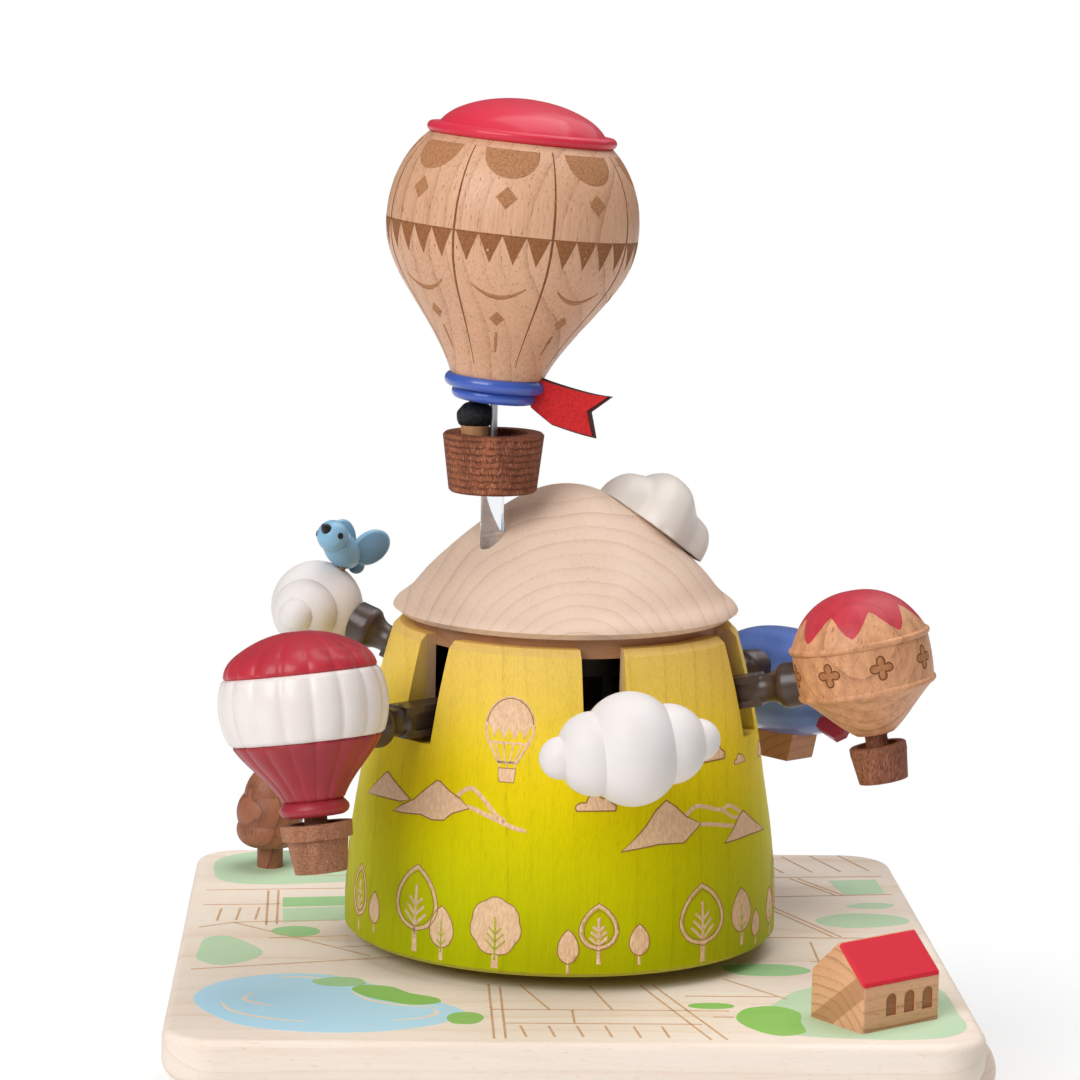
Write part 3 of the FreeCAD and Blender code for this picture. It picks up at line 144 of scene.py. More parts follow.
class Finish:
    """A material, or the world, while its nodes are being laid out."""

    def __init__(self, name, world=None):
        self.material = world or bpy.data.materials.new(name)
        self.material.use_nodes = True
        self.tree = self.material.node_tree
        self.tree.nodes.clear()

    def add(self, kind, settings=None, *inputs, out=0, **named):
        """Adds a node: its settings first, then a number, a colour or a Wire for each input."""
        node = self.tree.nodes.new("ShaderNode" + kind)
        for name, value in (settings or {}).items():
            if name == "stops":
                node.color_ramp.interpolation = "B_SPLINE"
                points = node.color_ramp.elements
                while len(points) < len(value):
                    points.new(1.0)
                for point, (place, colour) in zip(points, value):
                    point.position = place
                    point.color = colour
            else:
                setattr(node, name, value)
        chosen = dict(enumerate(inputs))
        chosen.update((name.replace("_", " "), value) for name, value in named.items())
        for key, value in chosen.items():
            if isinstance(value, Wire):
                self.tree.links.new(value.socket, node.inputs[key])
            elif value is not None:
                node.inputs[key].default_value = value
        return Wire(self, node.outputs[out]) if len(node.outputs) else None

    def place(self):
        """Where a point of the piece is, in millimetres, at rest."""
        return self.add("TexCoord", out="Object") * (1000.0, 1000.0, 1000.0)

    def place_from(self, origin, turn):
        """The same, measured from an origin in millimetres along turned axes."""
        return self.add("Mapping", {"vector_type": "TEXTURE"}, Vector=self.place(), Location=origin,
                        Rotation=turn)

    def ray(self, *kinds):
        """1 for a ray of any of these kinds, such as Camera."""
        path = self.add("LightPath").socket.node
        seen, *others = [Wire(self, path.outputs["Is %s Ray" % kind]) for kind in kinds]
        for other in others:
            seen = seen.call("MAXIMUM", other)
        return seen

    def between(self, first, second, share):
        """Mixes two colours. The sockets between are those for numbers and vectors."""
        return self.add("Mix", {"data_type": "RGBA"}, share, *[None] * 5, first, second, out=2)

    def cloudy(self, spot, size, detail=2.0, roughness=0.5):
        """Soft random patches about as large as size millimetres, from 0 to 1."""
        return self.add("TexNoise", None, Vector=spot, Scale=1.0 / size, Detail=detail, Roughness=roughness)

    def skin(self, colour, roughness, height=None, depth=0.1, **fixed):
        """The outer surface. Height runs from 0 to 1 over a depth in millimetres."""
        normal = None
        if height is not None:
            normal = self.add("Bump", None, Strength=1.0, Distance=depth * 0.001, Height=height)
        return self.close(self.add("BsdfPrincipled", None, Base_Color=colour, Roughness=roughness,
                                   Normal=normal, **fixed))

    def close(self, shader):
        self.add("OutputMaterial", None, shader)
        return self.material


mm = 0.001
floor_half = 3.0
floor_white = tint(246, 246, 246)
shadow_zone = (150.0, 420.0)
seen_glow = 0.2
world_light = 0.13
lamps = (("key_lamp", (-1.0, -1.3, 1.3), 1.3, 30.0), ("top_lamp", (0.45, 0.25, 1.9), 1.5, 20.0),
         ("back_lamp", (0.75, 0.85, 1.15), 1.0, 3.0))
lamp_target = Vector((0, 0, 0.13))

floor_mesh = bpy.data.meshes.new("floor")
floor_corners = [(-floor_half, -floor_half, 0), (floor_half, -floor_half, 0),
                 (floor_half, floor_half, 0), (-floor_half, floor_half, 0)]
floor_mesh.from_pydata(floor_corners, [], [(0, 1, 2, 3)])
floor = bpy.data.objects.new("floor", floor_mesh)
bpy.context.scene.collection.objects.link(floor)
floor_finish = Finish("floor_white")
seen = floor_finish.ray("Camera", "Glossy", "Transmission")
far_off = floor_finish.place().length().fade(*shadow_zone)
lit_floor = floor_finish.add("BsdfDiffuse", None, Color=floor_white)
glow = floor_finish.add("Emission", None, Strength=seen * seen_glow)
near_floor = floor_finish.add("AddShader", None, lit_floor, glow)
plain_white = floor_finish.add("Emission", None, Strength=1.0)
floor_mesh.materials.append(floor_finish.close(
    floor_finish.add("MixShader", None, seen * far_off, near_floor, plain_white)))

world = bpy.data.worlds.new("studio")
bpy.context.scene.world = world
sky = Finish("studio", world)
brightness = sky.add("MapRange", None, sky.ray("Camera", "Transmission"), 0.0, 1.0, world_light, 1.0)
sky.add("OutputWorld", None, sky.add("Background", None, (1.0, 1.0, 1.0, 1.0), brightness))

for lamp_name, lamp_place, lamp_size, lamp_power in lamps:
    lamp_data = bpy.data.lights.new(lamp_name, "AREA")
    lamp_data.size = lamp_size
    lamp_data.energy = lamp_power
    lamp = bpy.data.objects.new(lamp_name, lamp_data)
    lamp.location = lamp_place
    lamp.rotation_euler = (lamp_target - Vector(lamp_place)).to_track_quat("-Z", "Y").to_euler()
    bpy.context.scene.collection.objects.link(lamp)


# Base box
# Four walls of pale beech, mitred and rounded at the corners, glued under the
# board. They carry the movement and the screwed cover, under clear satin lacquer.
def grain(finish, heart, along, ring_gap, wander=1.0):
    """Rings, fibres and short flecks of a block whose heart passes near a point, in millimetres."""
    spot = finish.place_from(heart, Vector(along).to_track_quat("Z", "Y").to_euler())
    sway = finish.cloudy(spot * (1.0, 1.0, 0.2), 28.0) * (7.0 * wander)
    wobble = finish.cloudy(spot * (1.0, 1.0, 0.12), 4.0) * (0.9 * wander)
    age = ((spot * (1.0, 1.0, 0.0)).length() + sway + wobble) / ring_gap
    year = age.call("FLOOR")
    season = age - year
    luck = finish.add("TexWhiteNoise", {"noise_dimensions": "1D"}, W=year, out="Value")
    late_wood = (season ** 5.0) * (luck * 0.75 + 0.25)
    fibres = finish.cloudy(spot * (1.0, 1.0, 0.035), 0.42, 3.0, 0.6)
    flecks = finish.cloudy(spot * (1.0, 1.0, 0.16), 0.36, 1.0).fade(0.62, 0.78)
    patches = finish.cloudy(spot * (1.0, 1.0, 0.25), 16.0)
    return late_wood, fibres, flecks, patches


def wood(name, heart, along, ring_gap, pale, dark, rings=0.5, lines=0.3, gloss=0.42, wander=1.0, coat=0.2,
         shine=0.3):
    """Lacquered wood: a pale and a dark colour, and how strong its rings and flecks are."""
    finish = Finish(name)
    late_wood, fibres, flecks, patches = grain(finish, heart, along, ring_gap, wander)
    share = late_wood * rings + (fibres - 0.5) * (lines * 1.3) + flecks * lines + (patches - 0.5) * 0.5 + 0.22
    colour = finish.between(pale, dark, share.fade(-0.1, 1.1))
    relief = fibres * 0.5 + late_wood * 0.5 - flecks * 0.4
    return finish.skin(colour, (fibres * 0.14) + gloss, relief, 0.03, Coat_Weight=coat, Coat_Roughness=0.3,
                       Specular_IOR_Level=shine)


def dress(node, material):
    """Gives a piece its finish in each of its material slots."""
    piece = frame["nodes"][node]
    if not piece.material_slots:
        piece.data.materials.append(material)
    for material_slot in piece.material_slots:
        material_slot.material = material
    return piece


beech_pale = tint(248, 232, 216)
beech_dark = tint(220, 184, 154)
dress("base_box", wood("beech_walls", (0, -300, -40), (1, 0.02, 0), 3.4, beech_pale, beech_dark, rings=0.35,
                       lines=0.22))


# Board
# A square of pale sawn beech with soft corners, under thin matt lacquer. It is
# glued on the box, and the map is printed and its streets are scorched on top.
board_pale = tint(252, 240, 228)
board_dark = tint(230, 198, 168)
board_grain = {"heart": (0, 30, -150), "along": (1, 0.01, 0), "ring_gap": 4.2}
dress("board", wood("beech_board", pale=board_pale, dark=board_dark, rings=0.4, lines=0.3, coat=0.03,
                    shine=0.15, **board_grain))


# Printed map
# Greens, a pond and streets on the board: the colours are thin matt ink through
# which the grain shows, and the streets are fine scorched lines. All lie on the board.
print_lift = 0.04
ink_step = 0.01
line_lift = 0.06
street_width = 0.55
sheet_thickness = 0.08
board_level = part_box("board")[1].z / mm
curve_steps = 6


def smooth(points, steps=curve_steps, closed=True):
    """A soft line through the points."""
    count = len(points)
    spans = count if closed else count - 1
    line = []
    for i in range(spans):
        near = [Vector(points[(i + k) % count] if closed else points[min(max(i + k, 0), count - 1)])
                for k in (-1, 0, 1, 2)]
        for step in range(steps):
            t = step / steps
            line.append(0.5 * (2 * near[1] + (near[2] - near[0]) * t
                               + (2 * near[0] - 5 * near[1] + 4 * near[2] - near[3]) * t ** 2
                               + (3 * near[1] - near[0] - 3 * near[2] + near[3]) * t ** 3))
    return line if closed else line + [Vector(points[-1])]


def round_steps(count, reach=2 * math.pi):
    """Evenly spaced angles over a whole turn, or over a part of one."""
    return [reach * i / count for i in range(count)]


def oval(x, y, width, height):
    return [Vector((x + width / 2 * math.cos(a), y + height / 2 * math.sin(a))) for a in round_steps(20)]


def line(points, width, closed=False, taper=0.0):
    """A drawn line as a row of four-cornered pieces. Taper thins both its ends."""
    points = [Vector(p) for p in points]
    count = len(points)
    edges = []
    for i, point in enumerate(points):
        before = points[(i - 1) % count] if closed or i else point
        after = points[(i + 1) % count] if closed or i < count - 1 else point
        way = (after - before).normalized()
        share = math.sin(math.pi * (i + 0.5) / count) if taper else 1.0
        side = Vector((-way.y, way.x)) * (width / 2 * (1 - taper + taper * share))
        edges.append((point + side, point - side))
    pairs = zip(edges, edges[1:] + edges[:1]) if closed else zip(edges, edges[1:])
    return [[[a[0], a[1], b[1], b[0]]] for a, b in pairs]


def lines(paths, width, taper=0.0):
    return [piece for path in paths for piece in line(path, width, taper=taper)]


def cut_sheet(figures, cell):
    """Flat sheet of the figures, cut by a grid so that it can follow a round surface."""
    sheet = bmesh.new()
    for figure in figures:
        corners = [sheet.verts.new((p[0], p[1], 0)) for loop in figure for p in loop]
        loops = [[Vector((p[0], p[1], 0)) for p in loop] for loop in figure]
        for triangle in tessellate_polygon(loops):
            face = [corners[i] for i in triangle]
            if len(set(face)) == 3:
                sheet.faces.new(face)
    bmesh.ops.remove_doubles(sheet, verts=sheet.verts, dist=1e-4)
    if cell:
        for axis in (0, 1):
            reach = [v.co[axis] for v in sheet.verts]
            first, last = math.ceil(min(reach) / cell), math.floor(max(reach) / cell)
            normal = Vector((1 - axis, axis, 0))
            for step in range(first, last + 1):
                bmesh.ops.bisect_plane(sheet, geom=sheet.verts[:] + sheet.edges[:] + sheet.faces[:],
                                       plane_co=normal * (step * cell), plane_no=normal)
    for face in sheet.faces:
        face.normal_update()
        if face.normal.z < 0:
            face.normal_flip()
    return sheet


def add_piece(name, shape, material, body):
    """Makes a piece of the object from a bmesh, with smooth faces, and lets it ride on its body."""
    mesh = bpy.data.meshes.new(name)
    shape.to_mesh(mesh)
    shape.free()
    mesh.materials.append(material)
    mesh.shade_smooth()
    piece = bpy.data.objects.new(name, mesh)
    bpy.context.scene.collection.objects.link(piece)
    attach(piece, body)
    return piece


def thicken(piece, thickness=sheet_thickness):
    """Gives a laid sheet its thickness, down into what carries it."""
    solid = piece.modifiers.new("thickness", "SOLIDIFY")
    solid.thickness = thickness * mm
    solid.offset = -1.0
    solid.use_rim = True
    return piece


def on_board(name, figures, lift, material):
    sheet = cut_sheet(figures, 0)
    for vertex in sheet.verts:
        vertex.co = Vector((vertex.co.x, vertex.co.y, board_level + lift)) * mm
    piece = thicken(add_piece(name, sheet, material, "base"))
    piece.data.shade_flat()
    return piece


def ink(name, colour, cover=0.86):
    """Matt printing ink on the board, with its grain faintly through it."""
    finish = Finish(name)
    late_wood, fibres, flecks, patches = grain(finish, **board_grain)
    share = late_wood * 0.35 + (fibres - 0.5) * 0.3 + flecks * 0.22 + (patches - 0.5) * 0.5 + 0.22
    board_colour = finish.between(board_pale, board_dark, share.fade(-0.1, 1.1))
    thin = (fibres - 0.5) * 0.25 + (patches - 0.5) * 0.2 + cover
    return finish.skin(finish.between(board_colour, colour, thin), 0.55, fibres, 0.02,
                       Specular_IOR_Level=0.15)


def scorch(name, light, deep, size=0.8):
    """Bare wood browned by the engraver's heat, uneven along the line."""
    finish = Finish(name)
    spot = finish.place()
    deeper_brown = finish.cloudy(spot, size, 3.0).fade(0.35, 0.75)
    fine = finish.cloudy(spot * (1.0, 1.0, 0.3), 0.25)
    colour = finish.between(light, deep, deeper_brown * 0.7 + fine * 0.3)
    return finish.skin(colour, fine * 0.2 + 0.55, fine, 0.05, Specular_IOR_Level=0.2)


pale_green = ink("pale_green_ink", tint(188, 222, 184))
mid_green = ink("mid_green_ink", tint(150, 208, 140))
leaf_green = ink("leaf_green_ink", tint(124, 196, 66))
pond_blue = ink("pond_ink", tint(184, 230, 252), cover=0.94)
street_brown = scorch("street_scorch", tint(222, 186, 150), tint(196, 148, 106))

pond = smooth([(-84, -58), (-80, -43), (-68, -35), (-55, -35), (-45, -42), (-38, -52), (-29, -58), (-24, -66),
               (-30, -75), (-42, -81), (-58, -82), (-74, -76)])
on_board("pond", [[pond]], print_lift, pond_blue)
waves = [smooth(p, closed=False) for p in (
    [(-78, -58), (-75, -66), (-66, -72), (-58, -74)], [(-71, -51), (-73, -56), (-69, -60), (-66, -61)],
    [(-66, -38), (-60, -37), (-52, -39.5)], [(-49, -49), (-45, -56), (-38, -60), (-29, -61.5)],
    [(-40, -73), (-33, -70), (-30, -66), (-31, -63)])]
bare_board = wood("bare_board", pale=tint(252, 234, 214), dark=tint(232, 204, 176), rings=0.3, lines=0.2,
                  coat=0.03, shine=0.15, **board_grain)
on_board("pond_waves", lines(waves, 1.1, 0.75), line_lift, bare_board)

back_lawn = smooth([(-85, 66), (-84, 78), (-76, 86), (-62, 88.5), (-40, 88), (-24, 84), (-24, 62), (-46, 56),
                    (-70, 51), (-82, 54)])
plum_tree_lawn = smooth([(-85, -13), (-84, -3), (-79, -0.5), (-73, -8), (-70, -16), (-74, -24), (-80, -27),
                         (-85, -22)])
corner_lawn = smooth([(86, -62), (85, -44), (76, -38), (64, -38), (52, -46), (45, -58), (40, -66), (44, -80),
                      (60, -84.5), (78, -84), (86, -76)])
far_lawn = smooth([(64, 20), (72, 26), (84, 24), (86, 17), (74, 12), (66, 14)])
near_drum_lawn = smooth([(37, -25), (45, -22.5), (54, -24), (57, -29), (50, -33), (40, -32)])
small_far_lawn = smooth([(73, 34), (79, 37), (85, 35.5), (82, 31.5), (75, 31.5)])
far_field = [(71.5, 60), (84, 61.5), (84.5, 47), (74, 45)]
strip_far = [(-66.7, 37.5), (-30, 42), (-30, 33), (-66.6, 28)]
strip_near = [(-66.5, 26.5), (-30, 31.5), (-32, 20), (-66, 12.5)]
on_board("pale_lawns", [[p] for p in (back_lawn, plum_tree_lawn, corner_lawn, far_lawn, small_far_lawn,
                                      far_field, strip_near)], print_lift, pale_green)
pond_bank = smooth([(-58, -40), (-53, -37), (-47.5, -38), (-46, -43), (-51, -45), (-56, -44)])
ellipse_bush = oval(-62.8, 4.4, 11.8, 10)
on_board("mid_lawns", [[p] for p in (near_drum_lawn, strip_far, ellipse_bush)], print_lift + ink_step,
         mid_green)
bush_line = smooth([(-49, -47), (-46, -43.5), (-40, -45), (-36, -50), (-30, -54), (-29.5, -58), (-35, -60),
                    (-41, -57), (-46, -53)])
front_bush = smooth([(-28, -70), (-26, -66), (-21.5, -66), (-19.8, -70), (-22, -74.5), (-26.5, -74.5)])
left_of_house = smooth([(36, -69), (39, -61), (46, -59), (50.5, -64), (50, -72), (50, -80), (44, -82.5),
                        (38.5, -77)])
street_bush = oval(31.3, -59, 10.5, 5)
on_board("bushes", [[p] for p in (bush_line, front_bush, left_of_house, street_bush)],
         print_lift + 2 * ink_step, leaf_green)
on_board("pond_bank", [[pond_bank]], print_lift + 3 * ink_step, mid_green)

streets = [
    [(-86, 44.5), (-25, 50)], [(-86, 29.4), (-67, 31)], [(-70.5, 44.5), (-70, 10)], [(-68, 45), (-67.5, 11)],
    [(-86, 7.5), (-78, 12.5), (-52, 15.5)], [(-78, 12.5), (-45, -18)], [(-86, -31), (-30, -16.5)],
    [(-69, -2), (-50, 0.5)], [(-52, -10), (-40, -8)],
    [(-18, -42), (-18, -86)], [(-15.5, -44), (-15.5, -86)], [(-18, -63), (35, -63)], [(-11, -42), (-5, -63)],
    [(5, -43), (9, -63)], [(16.5, -42), (29, -86)], [(19.5, -42), (32.5, -86)], [(26, -51), (47, -51)],
    [(31, -68), (35.5, -68)], [(-15.5, -74), (28, -74)], [(0, -63), (0, -74)], [(36, -36), (49, -53)],
    [(50, 2), (86, 2)], [(52, 33), (66, 3)], [(54, 33), (68, 3)], [(52, 42), (86, 46)],
    [(62, 62), (72, 44)], [(64, 62), (74, 44)], [(45, 62), (86, 65)], [(-60, 60), (-20, 66)],
    [(20, 60), (20, 86)], [(-5, 52), (-5, 86)], [(-24, 70), (42, 72)], [(60, -2), (60, -20)],
    [(58, -20), (86, -20)]]
fences = [((-82, 14), (0.6, 12), (4.6, 0.7), 3), ((-12, -76), (1.0, -8.5), (6.2, 0), 6),
          ((46, 66), (-6, 17), (7.5, 1.0), 6), ((-10, 55), (0.5, 11), (5.5, 0.5), 5)]
fence_strokes = []
for start, stroke, pitch, count in fences:
    for i in range(count):
        foot = Vector(start) + Vector(pitch) * i
        fence_strokes.append([foot, foot + Vector(stroke)])
on_board("streets", lines(streets, street_width), line_lift, street_brown)
on_board("fences", lines(fence_strokes, street_width), line_lift, street_brown)


# Cover, screws and feet
# A plain plywood plate closes the box from below. It lies in a ledge of the walls
# and is held by four countersunk steel screws. Four pressed rubber feet stand on it.
def plywood(name):
    finish = Finish(name)
    spot = finish.place()
    fibres = finish.cloudy(spot * (0.05, 1.0, 1.0), 0.5, 4.0, 0.65)
    layers = finish.cloudy(spot * (0.03, 0.4, 1.0), 4.0, 2.0)
    colour = finish.between(tint(214, 186, 148), tint(174, 140, 100), fibres * 0.6 + layers * 0.4)
    return finish.skin(colour, fibres * 0.2 + 0.6, fibres, 0.06)


def rubber(name, colour):
    finish = Finish(name)
    dust = finish.cloudy(finish.place(), 0.5, 3.0)
    shade = finish.between(colour, tint(70, 68, 66), dust.fade(0.5, 0.9) * 0.5)
    return finish.skin(shade, dust * 0.2 + 0.65, dust, 0.04)


def darker(colour, share):
    """The colour with only a share of its light left."""
    return tuple(c * share for c in colour[:3]) + (1.0,)


def metal(name, colour, roughness=0.3, along=(1.0, 1.0, 1.0), worn=0.25):
    """Bare metal with fine tool marks along a direction and a little tarnish."""
    finish = Finish(name)
    spot = finish.place()
    marks = finish.cloudy(spot * along, 0.3, 3.0, 0.6)
    tarnish = finish.cloudy(spot, 6.0, 3.0).fade(0.45, 0.8)
    shade = finish.between(colour, darker(colour, 0.55), tarnish * worn + (marks - 0.5) * 0.2)
    return finish.skin(shade, marks * 0.15 + roughness, marks, 0.01, Metallic=1.0)


ground_steel = metal("ground_steel", tint(196, 197, 200))
dress("bottom_cover", plywood("plywood_cover"))
dress("cover_screws", metal("screw_steel", tint(186, 186, 188), roughness=0.35))
dress("rubber_feet", rubber("foot_rubber", tint(34, 33, 33)))


# Bushes and cam ring
# Brass bushes pressed into the board and the right wall carry the drum's shaft and
# the knob's. Round the drum's bush stands a moulded black ring with two hollows, on
# whose rim the arms slide.
def plastic(name, colour, roughness=0.35, coat=0.0, mottled=3.0):
    """Moulded plastic: a fine eroded texture and slightly uneven gloss."""
    finish = Finish(name)
    spot = finish.place()
    texture = finish.cloudy(spot, 0.35, 2.0)
    flow = finish.cloudy(spot, mottled, 3.0)
    lighter = tuple(min(1.0, c * 1.5 + 0.01) for c in colour[:3]) + (1.0,)
    shade = finish.between(colour, lighter, flow.fade(0.3, 0.8) * 0.6)
    return finish.skin(shade, flow * 0.16 + roughness, texture * 0.5 + flow * 0.5, 0.05, Coat_Weight=coat,
                       Coat_Roughness=0.2)


brass_yellow = tint(214, 178, 104)
turned_brass = metal("turned_brass", brass_yellow, roughness=0.28, along=(0.4, 0.4, 3.0))
dress("shaft_bush", turned_brass)
dress("knob_bush", turned_brass)
black_plastic = plastic("black_plastic", tint(26, 24, 24), roughness=0.4)
dress("cam_ring", black_plastic)


# Movement
# The spring movement hangs under the board on a die-cast zinc bedplate. The steel
# comb is ground and tuned, the cylinder and wheels are brass, and a small fan behind
# the governor keeps the pace. Nothing here is painted.
def casting(name, colour):
    finish = Finish(name)
    spot = finish.place()
    orange_peel = finish.cloudy(spot, 0.5, 2.0)
    stain = finish.cloudy(spot, 7.0, 4.0)
    shade = finish.between(colour, darker(colour, 0.7), stain)
    return finish.skin(shade, orange_peel * 0.2 + 0.42, orange_peel, 0.06, Metallic=0.9)


brushed_brass = metal("brushed_brass", brass_yellow, roughness=0.3, along=(0.2, 3.0, 3.0))
dress("bedplate", casting("zinc_casting", tint(158, 158, 156)))
dress("comb", metal("comb_steel", tint(188, 192, 198), roughness=0.24, along=(3.0, 0.2, 3.0), worn=0.15))
for node in ("governor_frame", "spring_barrel", "great_wheel", "pinned_cylinder", "cylinder_pinion",
             "cylinder_wheel", "governor_wheel"):
    dress(node, brushed_brass)
for node in ("drive_pinion", "cylinder_arbor"):
    dress(node, ground_steel)
dress("fly", metal("fly_steel", tint(176, 178, 182), roughness=0.36, along=(1.0, 1.0, 0.3)))


# Winding knob
# A turned ball of beech on a steel shaft that comes out of the right wall. It winds
# the spring, and turns back with the drum while the tune plays.
dress("winding_knob", wood("knob_beech", (0, 0, -30), (1, 0, 0.15), 2.6, beech_pale, beech_dark, rings=0.4,
                           lines=0.25, gloss=0.38))
dress("winding_shaft", ground_steel)


# Drum
# One block of maple turned like a bell, with six slots sawn down from its top. It is
# sprayed with stain that goes from warm yellow above to leaf green below, under thin
# matt lacquer. The slots' walls only took some of the stain, and its inside none.
drum_low, drum_high = (corner.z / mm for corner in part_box("drum_shell"))
stain_stops = [(0.0, tint(174, 180, 0)), (0.1, tint(184, 187, 0)), (0.26, tint(202, 200, 0)),
               (0.45, tint(221, 206, 0)), (0.54, tint(232, 208, 8)), (0.63, tint(238, 210, 22)),
               (0.72, tint(245, 211, 54)), (0.82, tint(247, 210, 80)), (1.0, tint(245, 206, 108))]
drum_grain = {"heart": (84, -6, 0), "along": (0.05, 0, 1), "ring_gap": 4.4, "wander": 0.8}
slot_stain = (36.5, 41.0)
bare_maple_pale = tint(233, 199, 160)
bare_maple_dark = tint(196, 152, 110)


def stained(finish, spot, grain_parts, soaked=0.12):
    """Colour of the stained maple at a height: the stain over its grain."""
    late_wood, fibres, flecks, patches = grain_parts
    height = (spot.dot((0, 0, 1)) - drum_low) / (drum_high - drum_low)
    drift = (patches - 0.5) * 0.10
    stain = finish.add("ValToRGB", {"stops": stain_stops}, height + drift)
    shading = (fibres - 0.5) * 0.9 + late_wood * 0.28 + flecks * 0.25 + soaked
    return finish.between(stain, tint(112, 92, 0), shading.fade(-0.05, 1.25) * 0.75)


def drum_finish():
    finish = Finish("stained_maple")
    spot = finish.place()
    parts = grain(finish, **drum_grain)
    late_wood, fibres, flecks = parts[:3]
    bare_share = late_wood * 0.4 + (fibres - 0.5) * 0.5 + flecks * 0.3 + 0.3
    bare = finish.between(bare_maple_pale, bare_maple_dark, bare_share)
    facing = finish.add("TexCoord", out="Normal")
    from_axis = spot * (1.0, 1.0, 0.0)
    outwards = facing.dot(finish.add("VectorMath", {"operation": "NORMALIZE"}, from_axis))
    soaked = outwards.fade(0.78, 0.93)
    upwards = facing.dot((0, 0, 1)).fade(0.5, 0.7)
    half_soaked = (1 - upwards) * from_axis.length().fade(*slot_stain) * outwards.fade(-0.6, -0.2) * 0.85
    cover = soaked.call("MAXIMUM", half_soaked).call("MAXIMUM", upwards * 0.8)
    colour = finish.between(bare, stained(finish, spot, parts), cover)
    relief = fibres * 0.6 + late_wood * 0.4 - flecks * 0.3
    return finish.skin(colour, fibres * 0.12 + 0.4, relief, 0.035, Coat_Weight=0.02, Coat_Roughness=0.3,
                       Specular_IOR_Level=0.05)


dress("drum_shell", drum_finish())
dress("drum_shaft", ground_steel)
dress("drum_gear", turned_brass)


# Engraved figures on the drum
# A router cut the figures through the stain down to bare maple, and left a thin
# browned edge: trees all round the foot, hills and clouds above them, and one
# balloon. They are common ornaments, drawn here for this box.
engraved_lift = 0.03
edge_lift = 0.05
vein_lift = 0.055
edge_width = 0.32
fine_edge = 0.7 * edge_width
drum_cell = 1.6
probe_start = 170 * mm
probe_length = 169 * mm


def axes_of(matrix):
    """Origin in millimetres and turn of a frame, for place_from."""
    return matrix.translation / mm, matrix.to_euler()


def skin_of(node):
    """The surface of a piece, to lay things on."""
    mesh = frame["nodes"][node].data
    return BVHTree.FromPolygons([v.co for v in mesh.vertices], [p.vertices for p in mesh.polygons])


def from_outside(skin, axis_point, out):
    """Where a line towards an axis meets the surface, and the way the surface faces there."""
    return skin.ray_cast(axis_point + out * probe_start, -out, probe_length)[:2]


def lay_on(sheet, skin, stance, lift):
    """Moves a flat sheet on to a turned surface. Its x is an arc length at a radius, its y a height."""
    matrix, radius = stance
    turn = matrix.to_3x3()
    for vertex in sheet.verts:
        angle = vertex.co.x / radius
        out = (turn @ Vector((math.sin(angle), -math.cos(angle), 0))).normalized()
        axis_point = matrix @ Vector((0, 0, vertex.co.y * mm))
        hit, normal = from_outside(skin, axis_point, out)
        if hit is None:
            hit, normal = axis_point + out * radius * mm, out
        vertex.co = hit + normal * (lift * mm)


def engraved(name, figures, skin, stance, lift, material, body, cell=drum_cell):
    sheet = cut_sheet(figures, cell)
    lay_on(sheet, skin, stance, lift)
    piece = thicken(add_piece(name, sheet, material, body), 0.07)
    piece.modifiers.new("even_shading", "WEIGHTED_NORMAL")
    return piece


def shifted(parts, x, y, size=1.0, flip=1):
    """Moves the parts of a figure, which are lists of outlines, to their place."""
    return [[[[Vector((x + flip * p[0] * size, y + p[1] * size)) for p in loop] for loop in shape]
             for shape in part] for part in parts]


def leaf_outline(width, height, foot):
    """Crown of a tree, round below and pointed above."""
    half = width / 2
    tall = height - foot
    right = [(0.0, foot), (half * 0.62, foot + 0.1 * tall), (half * 0.98, foot + 0.33 * tall),
             (half * 0.9, foot + 0.6 * tall), (half * 0.5, foot + 0.85 * tall), (0.0, height)]
    left = [(-x, y) for x, y in right[-2:0:-1]]
    return smooth(right, 4, closed=False)[:-1] + smooth([right[-1]] + left + [right[0]], 4, closed=False)[:-1]


def billow_outline(width, height, foot):
    """Crown of a tree with rounded lobes."""
    lobes = 7
    points = []
    for a in round_steps(lobes * 6):
        swell = 1.0 + 0.07 * abs(math.sin(lobes * a / 2)) - 0.03
        points.append((width / 2 * swell * math.sin(a),
                       (height + foot) / 2 - (height - foot) / 2 * swell * math.cos(a)))
    return [Vector(p) for p in points]


def twigs(height, foot, spread, levels, width):
    """A stem with pairs of twigs that reach up and out, as drawn lines."""
    stem_top = foot + 0.72 * (height - foot)
    marks = line([(0, foot * 0.6), (0, stem_top)], width)
    for i in range(levels):
        y = foot + (stem_top - foot) * (0.1 + 0.66 * i / levels)
        reach = spread * (1.0 - 0.55 * i / levels)
        for side in (-1, 1):
            marks += line([(0, y), (side * reach, y + reach * 0.95)], width * 0.9)
    return marks


def trunk(foot, width):
    return [[(-width / 2, 0), (width / 2, 0), (width * 0.4, foot + 0.8), (-width * 0.4, foot + 0.8)]]


